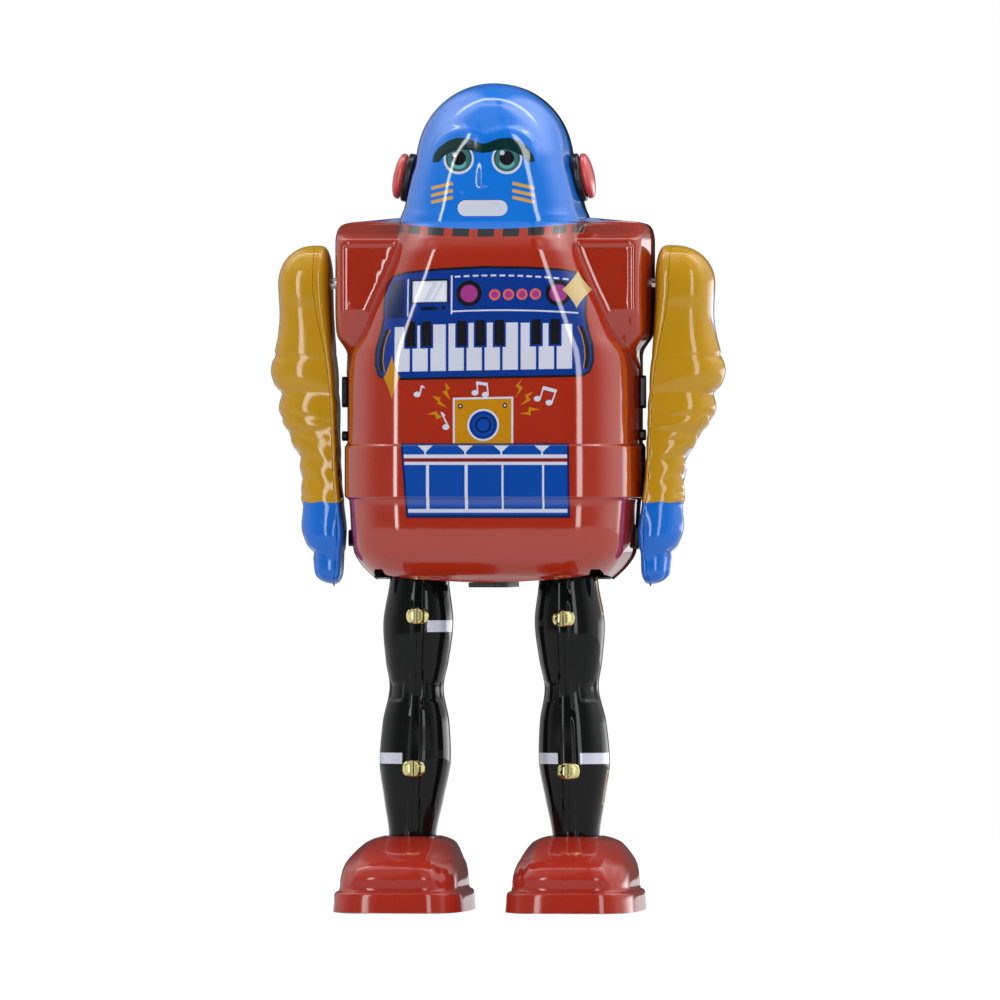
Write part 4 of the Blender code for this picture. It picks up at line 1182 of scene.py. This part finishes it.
def make_world():
    """A white room with a dark gap in front and tall soft lights beside it."""
    world = bpy.data.worlds.new("studio")
    bpy.context.scene.world = world
    world.use_nodes = True
    tree = world.node_tree
    split = tree.nodes.new("ShaderNodeSeparateXYZ")
    link(tree, tree.nodes.new("ShaderNodeTexCoord").outputs["Generated"], split.inputs[0])
    dx, dy, dz = split.outputs

    def times(*values):
        made = values[0]
        for value in values[1:]:
            made = calc(tree, "MULTIPLY", made, value)
        return made

    def plus(first, second):
        return calc(tree, "ADD", first, second)

    def less(first, second):
        return calc(tree, "SUBTRACT", first, second)

    def fade(value, low, high, start=0.0, end=1.0):
        return ramp(tree, value, low, high, start, end, smooth=True)

    def band(value, low, high, soft):
        return times(fade(value, low - soft, low + soft), fade(value, high - soft, high + soft, 1.0, 0.0))

    # Directions in degrees: azimuth 0 is in front of the robot
    azimuth = times(calc(tree, "ARCTAN2", dx, times(dy, -1.0)), 180 / math.pi)
    elevation = times(calc(tree, "ARCSINE", dz), 180 / math.pi)
    aside = calc(tree, "ABSOLUTE", azimuth)
    level = times(
        fade(aside, 42.0, 95.0, 0.25, 1.4),
        fade(aside, 100.0, 140.0, 1.0, 0.6),
        fade(aside, 145.0, 168.0, 1.0, 0.12),
        fade(elevation, 20.0, 52.0, 0.85, 2.1),
        fade(azimuth, -70.0, -40.0, 0.7, 1.0),
    )
    gap = times(band(azimuth, -9.0, 11.0, 2.5), fade(elevation, 60.0, 80.0, 1.0, 0.4))
    level = times(level, less(1.0, times(gap, 0.9)))

    # Two tall strips, a bowed lamp overhead, two soft patches and a lamp behind the side
    across = plus(times(dx, math.cos(CAMERA_TURN)), times(dy, math.sin(CAMERA_TURN)))
    behind = less(times(dy, math.cos(CAMERA_TURN)), times(dx, math.sin(CAMERA_TURN)))
    bow = plus(behind, times(across, across, 0.34))
    lamps = (
        (times(band(azimuth, -17.0, -10.5, 0.7), band(elevation, -36.0, 38.0, 3.0)), 7.6),
        (times(band(azimuth, 13.0, 23.0, 1.2), band(elevation, -38.0, 40.0, 3.0)), 5.4),
        (times(band(bow, 0.195, 0.27, 0.022), band(across, -0.52, 0.62, 0.1), fade(dz, 0.5, 0.6)), 5.0),
        (times(band(azimuth, -46.0, -30.0, 8.0), band(elevation, 52.0, 60.0, 5.0)), 0.6),
        (times(band(azimuth, 20.0, 34.0, 6.0), band(elevation, 54.0, 62.0, 5.0)), 0.6),
        (times(band(azimuth, 118.0, 164.0, 6.0), band(elevation, -14.0, 3.0, 3.0)), 2.0),
    )
    for shape, power in lamps:
        level = plus(level, times(shape, power))
    seen = tree.nodes.new("ShaderNodeLightPath").outputs["Is Camera Ray"]
    background = tree.nodes["Background"]
    background.inputs["Color"].default_value = (1, 1, 1, 1)
    link(tree, plus(seen, times(less(1.0, seen), level)), background.inputs["Strength"])


def make_floor():
    """A pale disc just under the soles."""
    corners = [(x, y, -0.0001) for x, y in disc(0, 0, 0.6, count=96).tolist()]
    mesh = bpy.data.meshes.new("floor")
    mesh.from_pydata(corners, [], [list(range(96))])
    floor = bpy.data.objects.new("floor", mesh)
    bpy.context.scene.collection.objects.link(floor)
    made = bpy.data.materials.new("pale_floor")
    made.use_nodes = True
    tree = made.node_tree
    seen = tree.nodes.new("ShaderNodeLightPath").outputs["Is Camera Ray"]
    for socket, value in (
        ("Base Color", (0.3, 0.3, 0.3, 1)),
        ("Roughness", 0.6),
        ("Specular IOR Level", 0.0),
        ("Emission Color", (1, 1, 1, 1)),
        ("Emission Strength", calc(tree, "MULTIPLY_ADD", seen, 0.5, 0.4)),
    ):
        link(tree, value, tree.nodes["Principled BSDF"].inputs[socket])
    mesh.materials.append(made)


def make_camera():
    """Level with the middle of the robot, a little to its left, and far away."""
    camera = bpy.data.objects.new("camera", bpy.data.cameras.new("camera"))
    bpy.context.scene.collection.objects.link(camera)
    aim_x, aim_z = 1.09 * MM, LEVEL * MM
    away_x, away_y = CAMERA_AWAY * math.sin(CAMERA_TURN), CAMERA_AWAY * math.cos(CAMERA_TURN)
    camera.location = (aim_x + away_x, -away_y, aim_z)
    camera.rotation_euler = (math.pi / 2, 0, CAMERA_TURN)
    camera.data.sensor_width = 36.0
    camera.data.lens = 595.38
    camera.data.clip_start = 0.05
    bpy.context.scene.camera = camera


make_world()
make_floor()
make_camera()
bpy.context.scene.view_settings.view_transform = "Standard"
